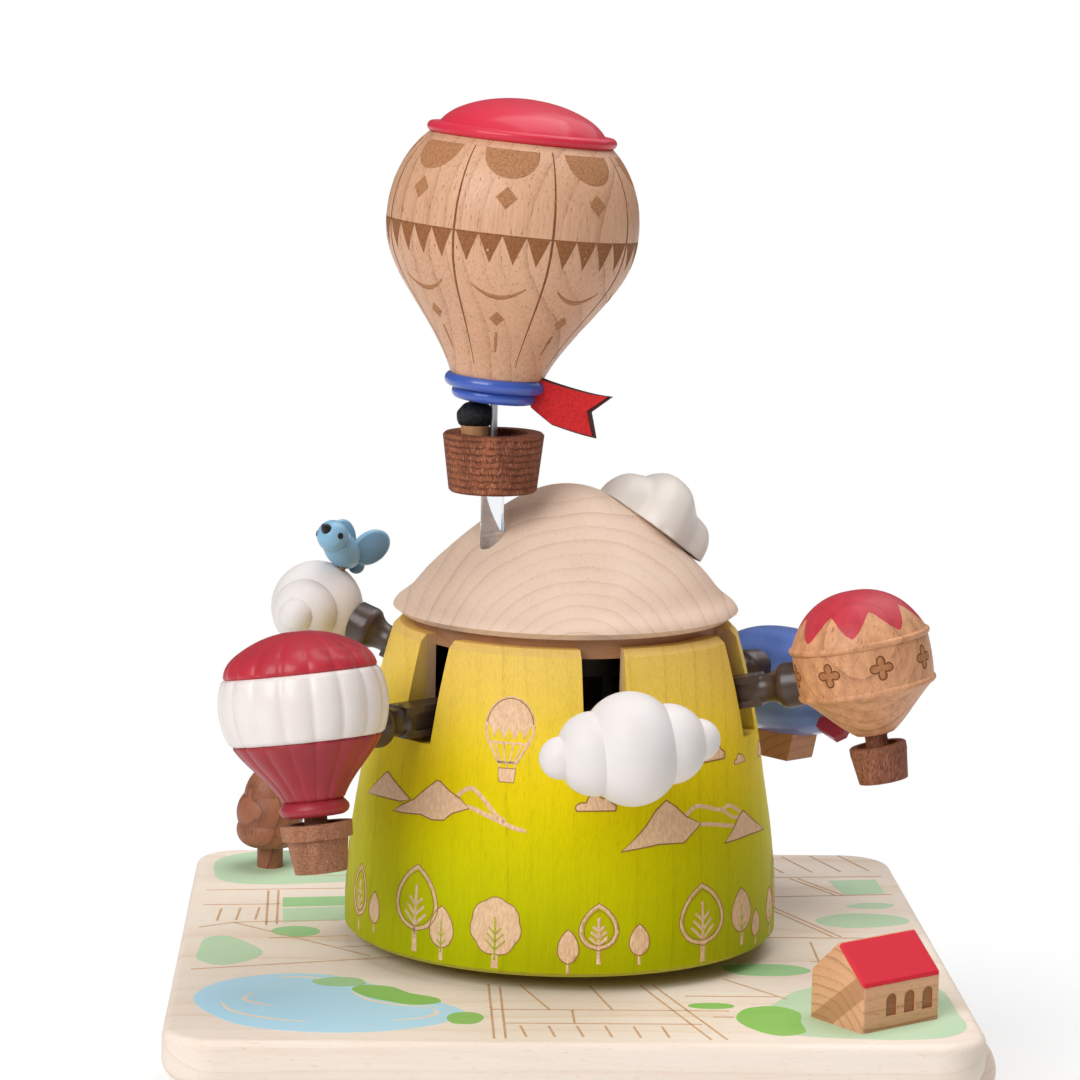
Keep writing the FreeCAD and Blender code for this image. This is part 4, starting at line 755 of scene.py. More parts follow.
def drum_tree(kind, x, y, width, height):
    """Bare parts, edge lines and stained veins of one engraved tree."""
    foot = height * (0.26 if kind == "open" else 0.22)
    if kind == "open":
        crown = leaf_outline(width, height, foot)
        inner = leaf_outline(width - 1.5, height - 1.0, foot + 0.75)
        outer = leaf_outline(width + 0.9, height + 0.5, foot - 0.45)
        bare = line(crown, 0.85, closed=True)
        bare += twigs(height, foot, width * 0.26, 3, 0.75) + [trunk(foot, width * 0.12)]
        edges = line(inner, 0.18, closed=True) + line(outer, 0.2, closed=True)
        veins = []
    elif kind == "billow":
        crown = billow_outline(width, height, foot)
        bare = [[crown], trunk(foot, width * 0.14)]
        edges = line(crown, fine_edge, closed=True)
        veins = twigs(height * 0.93, foot * 1.1, width * 0.2, 3, 0.42)
    else:
        crown = leaf_outline(width, height, foot)
        bare = [[crown], trunk(foot, width * 0.16)]
        edges = line(crown, fine_edge, closed=True)
        veins = twigs(height * 0.9, foot * 1.1, width * 0.17, 2, 0.34) if kind == "veined" else []
    return shifted((bare, edges, veins), x, y)


def hill_range(x, y, flip):
    """A small and a wide filled peak, and an open ridge that runs out in a long foot."""
    small_peak = [(-26.5, -1.4), (-17.2, 5.2), (-16.4, 5.3), (-6.0, 0.8), (-9.5, -0.3), (-16.0, -0.6)]
    wide_peak = [(-12.0, -2.8), (-8.8, -0.9), (-4.8, 1.0), (-1.0, 4.1), (2.0, 6.3), (3.0, 6.2), (6.2, 4.3),
                 (9.0, 3.2), (11.8, 1.1), (7.3, -0.5), (5.2, -2.3), (1.7, -2.7), (-1.8, -2.0), (-7.4, -2.6)]
    ridge = smooth([(8.0, 3.1), (9.5, 4.6), (11.6, 5.7), (13.2, 5.2), (15.7, 3.3), (18.7, 0.4),
                    (21.1, -0.9)], 3, closed=False)
    foot = smooth([(9.6, 1.6), (12.6, 1.3), (16.5, 0.1), (20.2, -1.1), (22.9, -2.1), (26.2, -2.8)], 3,
                  closed=False)
    bare = [[small_peak], [wide_peak]] + line(ridge, 1.0) + line(foot, 1.1, taper=0.3)
    edges = line(small_peak, edge_width, closed=True) + line(wide_peak, edge_width, closed=True)
    return shifted((bare, edges, []), x, y, 1.0, flip)


def twin_peaks(x, y, flip):
    """A broad peak and a smaller one, joined by two open ridges."""
    broad_peak = [(-24.6, -4.2), (-20.7, -1.1), (-18.1, 1.3), (-15.3, 4.6), (-12.4, 6.6), (-9.8, 4.9),
                  (-7.1, 2.5), (-2.7, 0.3), (-8.3, -3.4), (-14.9, -3.1)]
    lower_peak = [(4.6, -5.2), (8.8, -2.4), (11.4, -0.2), (14.0, 0.8), (19.6, -2.7), (25.6, -5.7),
                  (16.2, -5.1)]
    ridge = smooth([(-7.4, 2.4), (-4.0, 4.3), (-0.2, 3.7), (4.6, 2.4), (7.8, 3.0), (10.4, 1.9),
                    (12.6, 0.7)], 3, closed=False)
    foot = smooth([(-3.4, 0.2), (-0.6, -0.1), (3.9, -0.9), (9.0, -1.9)], 3, closed=False)
    spur = [(5.4, 2.2), (8.6, 0.2), (11.6, -0.3)]
    bare = [[broad_peak], [lower_peak]] + line(ridge, 0.9) + line(foot, 0.9) + line(spur, 0.8)
    edges = line(broad_peak, edge_width, closed=True) + line(lower_peak, edge_width, closed=True)
    return shifted((bare, edges, []), x, y, 1.0, flip)


def small_cloud(x, y, size):
    """A flat-bottomed cloud with three rounds."""
    shape = smooth([(-4.6, 0.0), (-4.9, 1.0), (-3.6, 1.9), (-2.4, 1.9), (-1.6, 3.3), (0.2, 3.7), (1.6, 2.8),
                    (3.0, 2.9), (4.0, 1.7), (5.0, 1.1), (4.8, 0.0)], 3, closed=False)
    return shifted(([[shape]], line(shape, edge_width, closed=True), []), x, y, size)


def drum_balloon(x, y):
    """A round balloon: a dark pointed hem, gores and a basket."""
    centre, radius = 12.6, 6.3
    around, hem = [[(reach * math.sin(math.radians(d)), centre + reach * math.cos(math.radians(d)))
                    for d in range(-end, end + 1, 12)] for reach, end in ((radius, 118), (radius * 0.98, 84))]
    skirt = [(2.4, 4.6), (-2.4, 4.6)]
    points = [(5.0, 12.0), (3.9, 9.9), (2.8, 12.2), (1.4, 9.7), (0.0, 12.2), (-1.4, 9.7), (-2.8, 12.2),
              (-3.9, 9.9), (-5.0, 12.0)]
    bare = [[hem + points]] + line(around + skirt, 0.7, closed=True) + line([(-5.6, 8.9), (5.6, 8.9)], 0.55)
    for top, low in ((-3.6, -1.6), (-1.3, -0.6), (1.3, 0.6), (3.6, 1.6)):
        bare += line([(top, 8.9), (low, 4.6)], 0.45)
    bare += line([(-2.6, 4.6), (2.6, 4.6)], 0.5)
    for side in (-2.0, 0.0, 2.0):
        bare += line([(side, 4.6), (side * 0.95, 3.2)], 0.4)
    basket = [(-2.3, 3.3), (2.3, 3.3), (1.9, 0.2), (-1.9, 0.2)]
    bare += [[basket]]
    edges = line(hem, fine_edge) + line(basket, fine_edge, closed=True)
    return shifted((bare, edges, []), x, y)


drum_stance = (Matrix.Translation((0, 0, drum_low * mm)), 50.0)
drum_skin = skin_of("drum_shell")


def arc(azimuth):
    """Arc length on the drum for an azimuth from the front."""
    return math.radians(azimuth) * drum_stance[1]


front_trees = [
    ("open", -69.0, 2.2, 7.4, 15.5), ("plain", -60.0, 3.6, 4.8, 9.8), ("open", -43.2, 2.4, 11.8, 19.6),
    ("veined", -34.6, 1.6, 6.4, 12.6), ("billow", -19.4, 0.9, 11.6, 16.6), ("plain", -0.6, 1.0, 4.8, 10.2),
    ("open", 7.2, 3.2, 8.2, 13.4), ("plain", 17.9, 2.6, 4.9, 9.4), ("open", 37.0, 0.9, 12.4, 18.2),
    ("veined", 52.6, 2.9, 8.2, 13.4), ("plain", 60.2, 1.6, 4.4, 8.4), ("open", 80.5, 2.0, 9.6, 17.4),
    ("veined", 71.5, 1.6, 6.0, 11.6)]
tree_draw = random.Random(4)
tree_kinds = ["plain", "open", "veined", "billow", "plain", "veined", "open"]
back_start = 93.0
back_end = 278.0
back_trees = []
while back_start < back_end:
    kind = tree_kinds[len(back_trees) % len(tree_kinds)]
    width = {"plain": 4.9, "open": 10.6, "veined": 7.0, "billow": 11.4}[kind]
    width *= tree_draw.uniform(0.9, 1.1)
    tallness = 2.0 if kind == "plain" else 1.6
    back_trees.append((kind, back_start, tree_draw.uniform(1.2, 3.2), width, width * tallness))
    back_start += math.degrees(width / drum_stance[1]) + tree_draw.uniform(2.5, 6.0)
drum_figures = [drum_tree(kind, arc(azimuth), y, width, height)
                for kind, azimuth, y, width, height in front_trees + back_trees]
for azimuth, y, flip in ((-42.4, 35.6, 1), (196.0, 34.6, -1)):
    drum_figures.append(hill_range(arc(azimuth), y, flip))
for azimuth, y, flip in ((41.2, 32.6, 1), (128.0, 33.2, -1)):
    drum_figures.append(twin_peaks(arc(azimuth), y, flip))
for azimuth, y, size in ((6.4, 37.6, 1.0), (43.5, 46.4, 1.25), (58.5, 44.2, 0.6), (80.0, 43.0, 0.9),
                         (106.0, 50.0, 1.1), (158.0, 47.0, 0.8), (204.0, 51.0, 1.2), (262.0, 46.5, 0.9)):
    drum_figures.append(small_cloud(arc(azimuth), y, size))
drum_figures.append(drum_balloon(arc(-18.6), 43.2))
drum_figures.append(drum_balloon(arc(162.0), 43.0))


def routed_maple(name, pale, dark):
    """Bare wood in a routed recess, with the cutter's short wavy marks."""
    finish = Finish(name)
    spot = finish.place()
    fibres = grain(finish, **drum_grain)[1]
    ripple = finish.cloudy(spot * (1.0, 1.0, 0.35), 0.55, 2.0).fade(0.35, 0.65)
    colour = finish.between(pale, dark, ripple * 0.45 + (fibres - 0.5) * 0.3 + 0.1)
    return finish.skin(colour, 0.6, ripple * 0.6 + fibres * 0.4, 0.1)


def stain_in_vein():
    finish = Finish("stain_in_vein")
    parts = grain(finish, **drum_grain)
    return finish.skin(stained(finish, finish.place(), parts, 0.27), 0.4, parts[1], 0.03, Coat_Weight=0.3)


drum_bare = routed_maple("routed_maple", tint(246, 208, 168), tint(212, 162, 120))
drum_edge = scorch("routed_edge", tint(172, 128, 62), tint(138, 96, 42))
for part, name, lift, material in ((0, "drum_figures", engraved_lift, drum_bare),
                                   (1, "drum_figure_edges", edge_lift, drum_edge),
                                   (2, "drum_figure_veins", vein_lift, stain_in_vein())):
    shapes = [shape for figure in drum_figures for shape in figure[part]]
    engraved(name, shapes, drum_skin, drum_stance, lift, material, "drum")


# Top disc and arm carrier
# A brown-stained beech disc closes the drum. Under it a moulded black carrier is
# pressed on the shaft, and a steel pin through each pair of its ears holds an arm.
dress("top_disc", wood("disc_beech", (10, 26, 60), (1, 0.05, 0), 3.4, tint(186, 138, 100),
                       tint(140, 94, 62), rings=0.4, lines=0.35, gloss=0.5))
dress("arm_carrier", black_plastic)
dress("arm_pins", ground_steel)


# Dome
# A low pointed hill turned from one block of pale maple, glued on the disc. Its year
# rings show as wide arches on the front. Clear satin lacquer.
dome_pale = tint(239, 212, 190)
dome_dark = tint(196, 154, 124)
dome_heart = (3, 0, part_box("dome")[0].z / mm - 12)
dress("dome", wood("dome_maple", dome_heart, (0.04, 1, 0.05), 2.5, dome_pale, dome_dark, rings=0.4,
                   lines=0.3, gloss=0.5, wander=0.45, coat=0.12))


# Cloud on the dome
# Half of a turned beech cloud, sprayed white and glued with its flat side on the
# dome. The lacquer is thin, so a little of the grain shows as fine relief.
def paint(name, colour, gloss=0.4, coat=0.3, uneven=0.5, relief_depth=0.03, along=(0, 1, 0), deep=None):
    """Sprayed lacquer on wood: soft unevenness, a trace of grain and a little dust."""
    finish = Finish(name)
    spot = finish.place()
    late_wood, fibres = grain(finish, (40, 0, 20), along, 3.6)[:2]
    drift = finish.cloudy(spot, 9.0, 3.0)
    speck = finish.cloudy(spot, 0.6, 2.0).fade(0.66, 0.8)
    deeper = deep or darker(colour, 0.8)
    share = drift.fade(0.3, 0.8) * 0.5 * uneven + fibres * 0.22 * uneven + late_wood * 0.16 * uneven
    shade = finish.between(colour, deeper, share + speck * 0.1)
    relief = fibres * 0.6 + late_wood * 0.4 + speck * 0.2
    return finish.skin(shade, fibres * 0.1 + drift * 0.08 + gloss, relief, relief_depth, Coat_Weight=coat,
                       Coat_Roughness=0.15, Specular_IOR_Level=0.35)


def join_rings(shape, rings):
    """Faces between neighbouring rings of points. The first and last ring may be a single point."""
    for low, high in zip(rings, rings[1:]):
        count = max(len(low), len(high))
        for k in range(count):
            after = (k + 1) % count
            if len(low) == 1:
                shape.faces.new((low[0], high[after], high[k]))
            elif len(high) == 1:
                shape.faces.new((low[k], low[after], high[0]))
            else:
                shape.faces.new((low[k], low[after], high[after], high[k]))


def turned_bead(profile, direction, sides=40):
    """A solid of revolution. The profile is (distance along the axis, radius)."""
    shape = bmesh.new()
    turn = Vector(direction).to_track_quat("Z", "Y").to_matrix()
    rings = []
    for along, radius in profile:
        angles = round_steps(sides) if radius > 0.01 else [0.0]
        rings.append([shape.verts.new(turn @ Vector((radius * math.cos(a), radius * math.sin(a), along)))
                      for a in angles])
    join_rings(shape, rings)
    return shape


def egg_profile(radius, length, bulge=2.0, steps=18):
    """Profile of an egg along its axis."""
    angles = round_steps(steps, math.pi) + [math.pi]
    return [(-length / 2 * math.cos(a), radius * math.sin(a) ** (2 / bulge)) for a in angles]


def set_in(shape, matrix, offset=(0, 0, 0)):
    """Carries a shape drawn in millimetres to its place in the scene."""
    shape.transform(matrix @ Matrix.Scale(mm, 4) @ Matrix.Translation(Vector(offset)))
    bmesh.ops.recalc_face_normals(shape, faces=shape.faces)
    return shape


cream_white = paint("cream_white", tint(240, 232, 224), gloss=0.4, coat=0.25, uneven=0.5,
                    deep=tint(222, 208, 192))
cloud_outline = [(0.0, 0.0), (0.6, 3.6), (3.0, 6.9), (6.0, 8.4), (8.0, 9.2), (9.6, 11.0), (12.4, 12.7),
                 (15.6, 13.0), (18.8, 12.4), (21.8, 10.4), (24.0, 8.8), (26.4, 8.3), (28.8, 7.6),
                 (30.6, 6.0), (31.5, 3.8), (31.8, 1.6), (31.8, 0.0)]
cloud_shrink = 0.91
cloud_slope = math.radians(36.0)
cloud_azimuth = math.radians(104.0)
cloud_start = 8.6
cloud_profile = [(point.x * cloud_shrink, max(point.y, 0.0))
                 for point in smooth(cloud_outline, 4, closed=False)]
soft_cloud = turned_bead(cloud_profile, (1, 0, 0), 64)
bmesh.ops.bisect_plane(soft_cloud, geom=soft_cloud.verts[:] + soft_cloud.edges[:] + soft_cloud.faces[:],
                       plane_co=(0, 0, 0), plane_no=(0, 0, 1), clear_inner=True)
bmesh.ops.holes_fill(soft_cloud, edges=[edge for edge in soft_cloud.edges if edge.is_boundary])
dome_skin = skin_of("dome")
cloud_way = Vector((math.sin(cloud_azimuth), -math.cos(cloud_azimuth), 0))
above_dome = Vector((0, 0, 0.3))
cloud_foot = dome_skin.ray_cast(cloud_way * (cloud_start * mm) + above_dome, Vector((0, 0, -1)))[0]
cloud_frame = (Matrix.Translation(cloud_foot) @ Matrix.Rotation(cloud_azimuth - math.pi / 2, 4, "Z")
               @ Matrix.Rotation(cloud_slope, 4, "Y"))
half_cloud = add_piece("half_cloud", set_in(soft_cloud, cloud_frame), cream_white, "drum")
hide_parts("dome_cloud")


# Clear rod, main basket and pin
# A polished acrylic rod carries the basket above the dome. The basket is turned from
# a dark open-grained wood and left matt. A thin steel pin rises from it to the balloon.
def acrylic(name):
    finish = Finish(name)
    haze = finish.cloudy(finish.place(), 1.5, 3.0)
    colour = finish.between(tint(250, 251, 253), tint(236, 240, 246), haze)
    return finish.skin(colour, haze * 0.05 + 0.02, haze, 0.01, Transmission_Weight=1.0, IOR=1.49)


groove_pitch = 1.55


def open_grain(name, pale, dark, light, heart=(60, 40, 0), grooves=0.0, squeeze=0.24):
    """Matt coarse wood: dark pores and pale flecks squeezed across its upright grain, and turned grooves
    whose colour is darkened as painted shade.
    """
    finish = Finish(name)
    spot = finish.place_from(heart, Vector((0, 0, 1)).to_track_quat("Z", "Y").to_euler())
    fibres = finish.cloudy(spot * (1.0, 1.0, 0.16), 0.34, 3.0, 0.6)
    pores = finish.cloudy(spot * (1.0, 1.0, squeeze) + (31.0, 7.0, 3.0), 0.3, 2.0).fade(0.54, 0.66)
    chalk = finish.cloudy(spot * (1.0, 1.0, squeeze) + (3.0, 19.0, 11.0), 0.32, 2.0).fade(0.56, 0.68)
    bands = finish.cloudy(spot * (0.25, 0.25, 0.02), 1.0, 3.0).fade(0.3, 0.7)
    body = finish.between(pale, dark, bands * 0.45 + (fibres - 0.5) * 0.7 + 0.15)
    shade = finish.between(finish.between(body, dark, pores * 0.75), light, chalk * 0.45)
    uneven = finish.cloudy(finish.place() * (1.0, 1.0, 0.4), 3.0, 4.0, 0.65)
    groove_turn = (finish.place().dot((0, 0, 1)) / groove_pitch + uneven) % 1.0
    groove = (groove_turn - 0.5).call("ABSOLUTE").fade(0.22, 0.5)
    # Painted shade: the colour darkens inside the turned grooves.
    shade = finish.between(shade, dark, groove * (uneven.fade(0.36, 0.56) * (0.75 * grooves)))
    relief = fibres * 0.4 + chalk * 0.3 - pores * 0.6 - groove * (1.6 * grooves)
    return finish.skin(shade, 0.68, relief, 0.12, Specular_IOR_Level=0.3)


dress("clear_rod", acrylic("clear_acrylic"))
basket_wood = open_grain("basket_wood", tint(176, 104, 70), tint(86, 42, 27), tint(220, 160, 126),
                         grooves=1.0)
dress("main_basket", basket_wood)
dress("mast_pin", ground_steel)


# Passenger
# A small turned figure of oiled beech stands in the basket with its back to the rim.
# Its hair is a cap of black modelling clay, pressed on by hand and left rough.
dress("passenger", wood("figure_wood", (30, 10, 0), (0, 0, 1), 2.6, tint(206, 154, 108), tint(160, 108, 70),
                        rings=0.5, lines=0.4, gloss=0.5))
hair_low, hair_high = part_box("passenger_hair")
hair_middle = (hair_low + hair_high) / 2
hair_half = (hair_high - hair_low) / 2
hair_draw = random.Random(11)
lock_count = 26
hair_rise = 2.15
hair_rim = 0.5
hair = bmesh.new()
bmesh.ops.create_icosphere(hair, subdivisions=4, radius=1.0)
locks = [(Vector((hair_draw.gauss(0, 1), hair_draw.gauss(0, 1), hair_draw.gauss(0.3, 0.7))).normalized(),
          hair_draw.uniform(0.03, 0.09)) for number in range(lock_count)]
for vertex in hair.verts:
    way = vertex.co.normalized()
    swell = 0.9
    for lock, size in locks:
        nearness = max(0.0, way.dot(lock) - 0.8) / 0.2
        swell += size * nearness ** 0.6
    swell = min(swell, 1.05)
    rise = (max(way.z, -hair_rim) + hair_rim) / (1 + hair_rim)
    vertex.co = Vector((hair_middle.x + way.x * hair_half.x * swell,
                        hair_middle.y + way.y * hair_half.y * swell,
                        hair_low.z + rise * hair_half.z * hair_rise * min(swell, 1.02)))
bmesh.ops.remove_doubles(hair, verts=hair.verts, dist=1e-7)


def clay(name):
    finish = Finish(name)
    spot = finish.place()
    lumps = finish.cloudy(spot, 0.9, 4.0, 0.6)
    fine = finish.cloudy(spot, 0.25, 2.0)
    rough = lumps * 0.7 + fine * 0.3
    shade = finish.between(tint(20, 22, 24), tint(58, 62, 68), rough.fade(0.45, 0.8))
    return finish.skin(shade, fine * 0.2 + 0.5, rough, 0.6, Specular_IOR_Level=0.4)


hair_piece = add_piece("clay_hair", hair, clay("black_clay"), "drum")
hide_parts("passenger_hair")


# Neck ring and main balloon
# The envelope is turned from one block of beech and stands on a blue lacquered ring.
# Gores, half rounds, diamonds and a toothed belt are scorched in by the engraver:
# plain fairground ornaments. Clear satin lacquer over all.
dress("neck_ring", paint("ring_blue", tint(66, 98, 190), gloss=0.26, coat=0.6, uneven=0.35,
                         relief_depth=0.02))
dress("main_balloon", wood("balloon_beech", (-62, -8, 190), (0.1, 0.05, 1), 4.6, tint(230, 180, 144),
                           tint(142, 88, 56), rings=0.34, lines=0.6, gloss=0.42, wander=1.3, coat=0.28))
mast_foot = Vector((-18.1, -13.6, 0)) * mm
neck_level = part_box("mast_pin")[1].z - 3.0 * mm
main_lean = math.radians(5.0)
main_frame = Matrix.Translation((mast_foot.x, mast_foot.y, neck_level)) @ Matrix.Rotation(main_lean, 4, "Y")
main_radius = 28.9
main_stance = (main_frame, main_radius)
main_skin = skin_of("main_balloon")
gore_count = 8
first_gore = 16.2


def radius_at(skin, stance, height):
    """How wide a turned piece is at a height, in millimetres."""
    matrix = stance[0]
    out = (matrix.to_3x3() @ Vector((0, -1, 0))).normalized()
    axis_point = matrix @ Vector((0, 0, height * mm))
    hit = from_outside(skin, axis_point, out)[0]
    return (hit - axis_point).length / mm if hit else stance[1]


def on_round(skin, stance, azimuth, points, middle):
    """Points drawn at true size round a place on a turned piece: (across, height)."""
    stretch = stance[1] / radius_at(skin, stance, middle)
    base = math.radians(azimuth) * stance[1]
    return [Vector((base + x * stretch, y)) for x, y in points]


def gore_mark(middle, points, level, aim=None):
    """Points of a figure in the middle of a gore, drawn round a level of the balloon."""
    raised = [(x, y + level) for x, y in points]
    return on_round(main_skin, main_stance, middle, raised, level if aim is None else aim)


gore_lines = []
belt_teeth = []
gore_marks = []
equator = 39.6
tooth_depth = 6.4
teeth_per_gore = 4
tooth_margin = 0.5
gore_foot, gore_top, gore_step = 9.0, 59.2, 1.5
gore_angle = 360 / gore_count
gore_span = math.radians(gore_angle) * main_radius
tooth_width = (gore_span - 2 * tooth_margin) / teeth_per_gore
half_round = [(6.4 * math.cos(a), -6.2 * math.sin(a)) for a in (math.pi * i / 14 for i in range(15))]
diamond = [(0, 2.5), (2.45, 0), (0, -2.5), (-2.45, 0)]
small_diamond = [(x * 0.7, y * 0.68) for x, y in diamond]
smile = [(5.9 * step / 7, 2.5 * (step / 7) ** 2) for step in range(-7, 8)]
dash = [(0, 1.2 * step) for step in range(5)]
for gore in range(gore_count):
    seam = first_gore + gore_angle * gore
    seam_x = math.radians(seam) * main_radius
    seam_points = []
    while gore_foot + gore_step * len(seam_points) < gore_top:
        seam_points.append((seam_x, gore_foot + gore_step * len(seam_points)))
    gore_lines += line(seam_points, 0.55, taper=0.45)
    for tooth in range(teeth_per_gore):
        left = seam_x + tooth_margin + tooth_width * tooth
        right = left + tooth_width
        tip = ((left + right) / 2 + 0.2, equator - tooth_depth)
        belt_teeth.append([[Vector(p) for p in ((left, equator), (right, equator), tip)]])
    middle = seam + gore_angle / 2
    gore_marks.append([gore_mark(middle, half_round, 58.3, 56.5)])
    gore_marks.append([gore_mark(middle, diamond, 47.9)])
    gore_marks.append([gore_mark(middle, small_diamond, 20.4)])
    gore_marks += line(gore_mark(middle, smile, 25.5, 26.0), 1.0, taper=0.75)
    gore_marks += line(gore_mark(middle, dash, 12.4, 15.0), 1.3, taper=0.5)
scorched_belt = scorch("scorched_belt", tint(166, 110, 70), tint(124, 76, 44), size=0.5)
belt_line = []
for start in round_steps(56, 2 * math.pi * main_radius):
    belt_line.append([[Vector((start + x, equator + y)) for x, y in ((0, -0.15), (3.2, -0.15), (3.2, 0.2),
                                                                     (0, 0.2))]])
scorched_marks = scorch("scorched_marks", tint(192, 138, 98), tint(152, 98, 60), size=0.5)
scorched_lines = scorch("scorched_lines", tint(156, 102, 64), tint(112, 68, 40), size=0.6)
for name, shapes, lift, material in (("balloon_marks", gore_marks, 0.03, scorched_marks),
                                     ("balloon_belt", belt_teeth, 0.03, scorched_belt),
                                     ("balloon_gores", gore_lines, 0.045, scorched_lines),
                                     ("balloon_belt_line", belt_line, 0.04, scorched_belt)):
    engraved(name, shapes, main_skin, main_stance, lift, material, "drum")


# Balloon cap and pennant
# The red cap is turned with a round bead at its foot and glued on under satin
# lacquer. The swallow-tailed pennant is pressed red felt on a dark brown backing,
# cut in one go and glued to the ring.
cap_red = paint("cap_red", tint(222, 44, 70), gloss=0.46, coat=0.35, uneven=0.3, relief_depth=0.03,
                along=(0, 0, 1), deep=tint(200, 32, 56))
dress("main_cap", cap_red)
pennant_root = 8.7
pennant_length = 18.5
pennant_half = 4.75
pennant_notch = 3.0
pennant_seat = 1.5
pennant_bend = 1.5
pennant_frame = (Matrix.Translation((mast_foot.x, mast_foot.y, neck_level + 4.275 * mm))
                 @ Matrix.Rotation(math.radians(-22.0), 4, "Z") @ Matrix.Rotation(math.radians(17.0), 4, "Y"))


def pennant_edge(share, upper):
    """Distance of the pennant's edge from its middle line, as a share of its length."""
    if upper:
        return pennant_half * (1.0 - 0.04 * math.sin(math.pi * share) + 0.06 * share)
    return -pennant_half * (0.55 + 0.47 * min(1.0, share / 0.35) + 0.16 * max(0.0, share - 0.35))


def pennant_sheet(inset, face):
    """Sheet of the pennant, smaller all round by the inset. It bends a little towards its tail."""
    sheet = bmesh.new()
    columns, rows = 40, 16
    grid = []
    for i in range(columns + 1):
        column = []
        for j in range(rows + 1):
            across = j / rows
            tail = 1.0 - abs(across - 0.5) * 2
            length = pennant_length - pennant_notch * tail + 0.8 * (across > 0.5) * (1 - tail) - inset * 3.2
            share = i / columns
            low, high = pennant_edge(share, False) + inset, pennant_edge(share, True) - inset
            wave = 0.5 * math.sin(share * 5.2) * share - 0.25 * math.sin(across * 3.0 + share * 4.0) * share
            spot = Vector((pennant_root + pennant_seat + (length - pennant_seat) * share, face + wave,
                           low + (high - low) * across + pennant_bend * share * share))
            column.append(sheet.verts.new(pennant_frame @ (spot * mm)))
        grid.append(column)
    for i in range(columns):
        for j in range(rows):
            sheet.faces.new((grid[i][j], grid[i + 1][j], grid[i + 1][j + 1], grid[i][j + 1]))
    return sheet


def felt(name, colour, deep):
    finish = Finish(name)
    spot = finish.place()
    fuzz = finish.cloudy(spot, 0.28, 4.0, 0.7)
    clumps = finish.cloudy(spot, 0.8, 3.0, 0.6)
    shade = finish.between(colour, deep, (fuzz * 0.6 + clumps * 0.4).fade(0.4, 0.72))
    return finish.skin(shade, 0.95, fuzz * 0.6 + clumps * 0.4, 0.25, Sheen_Weight=0.25, Sheen_Roughness=0.5,
                       Specular_IOR_Level=0.15)


brown_felt = felt("brown_felt", tint(84, 52, 50), tint(56, 32, 32))
red_felt = felt("red_felt", tint(214, 44, 46), tint(168, 22, 28))
backing = add_piece("pennant_backing", pennant_sheet(0.0, 0.0), brown_felt, "drum")
thicken(backing, 0.9)
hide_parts("pennant")
thicken(add_piece("felt_pennant", pennant_sheet(0.28, -0.55), red_felt, "drum"), 0.6)


# Tree and house
# The tree is turned from a red-brown wood and pegged into the board. The house is a
# sawn beech block with rounded edges, three windows routed into its long side and
# one side of its roof painted red.
dress("tree", wood("tree_wood", (-60, 80, 60), (0.1, 0.2, 1), 3.0, tint(168, 106, 78), tint(98, 56, 38),
                   rings=0.7, lines=0.5, gloss=0.45, wander=1.5, coat=0.1))
house_place = (66.8, -67.5)
house_turn = math.radians(34.9)
house_eave = 11.0
house_ridge = 18.9
house_half_width = 8.65
roof_paint_depth = 0.55
gable_edge = (11.0, 11.2)
window_foot = (2.6, 2.8)
window_head = (8.2, 8.4)
recess_mouth = (0.2, 0.3)
recess_back = (0.7, 0.9)


def house_finish():
    finish = Finish("house_beech")
    late_wood, fibres, flecks, patches = grain(finish, (66, -60, 40), (0.82, 0.57, 0.0), 2.4, 1.2)
    spot = finish.place_from((*house_place, board_level), (0, 0, house_turn))
    inwards = spot.dot((0, 1, 0))
    height = spot.dot((0, 0, 1))
    share = late_wood * 0.6 + (fibres - 0.5) * 0.4 + flecks * 0.35 + (patches - 0.5) * 0.5 + 0.3
    bare = finish.between(tint(244, 190, 148), tint(176, 114, 76), share.fade(-0.1, 1.1))
    on_gable = (spot.dot((1, 0, 0)) * -1.0).fade(*gable_edge)
    streak = (spot.dot((0, 0.62, 0.78)) - 3.2).call("ABSOLUTE").fade(2.2, 2.6)
    bare = finish.between(bare, tint(166, 110, 70), (1 - streak) * on_gable * 0.55)
    rise = house_ridge - house_eave
    slope = Vector((0, -rise, house_half_width)).normalized()
    ridge_point = Vector((0, 0, house_ridge))
    depth = spot.dot(slope) - slope.dot(ridge_point)
    near_side = (inwards * -1.0).fade(0.25, 0.4)
    ragged = finish.cloudy(spot, 0.7, 2.0) * 0.22
    painted = (depth + ragged).fade(-roof_paint_depth, -roof_paint_depth + 0.12) * near_side
    colour = finish.between(bare, tint(222, 36, 56), painted)
    from_front = inwards + house_half_width
    window_band = height.fade(*window_foot) * (1 - height.fade(*window_head))
    recessed = from_front.fade(*recess_mouth) * (1 - from_front.fade(*recess_back))
    # Painted shade: the window recesses get a darker brown than the bare wood around them.
    window_painted_shade = recessed * window_band * (1 - on_gable)
    deeper_brown = finish.between(tint(200, 138, 94), tint(132, 80, 48), fibres)
    colour = finish.between(colour, deeper_brown, window_painted_shade)
    relief = fibres * 0.6 + late_wood * 0.4 - flecks * 0.3
    return finish.skin(colour, fibres * 0.15 + 0.42, relief, 0.04, Coat_Weight=0.05, Coat_Roughness=0.3,
                       Specular_IOR_Level=0.25)


dress("house", house_finish())


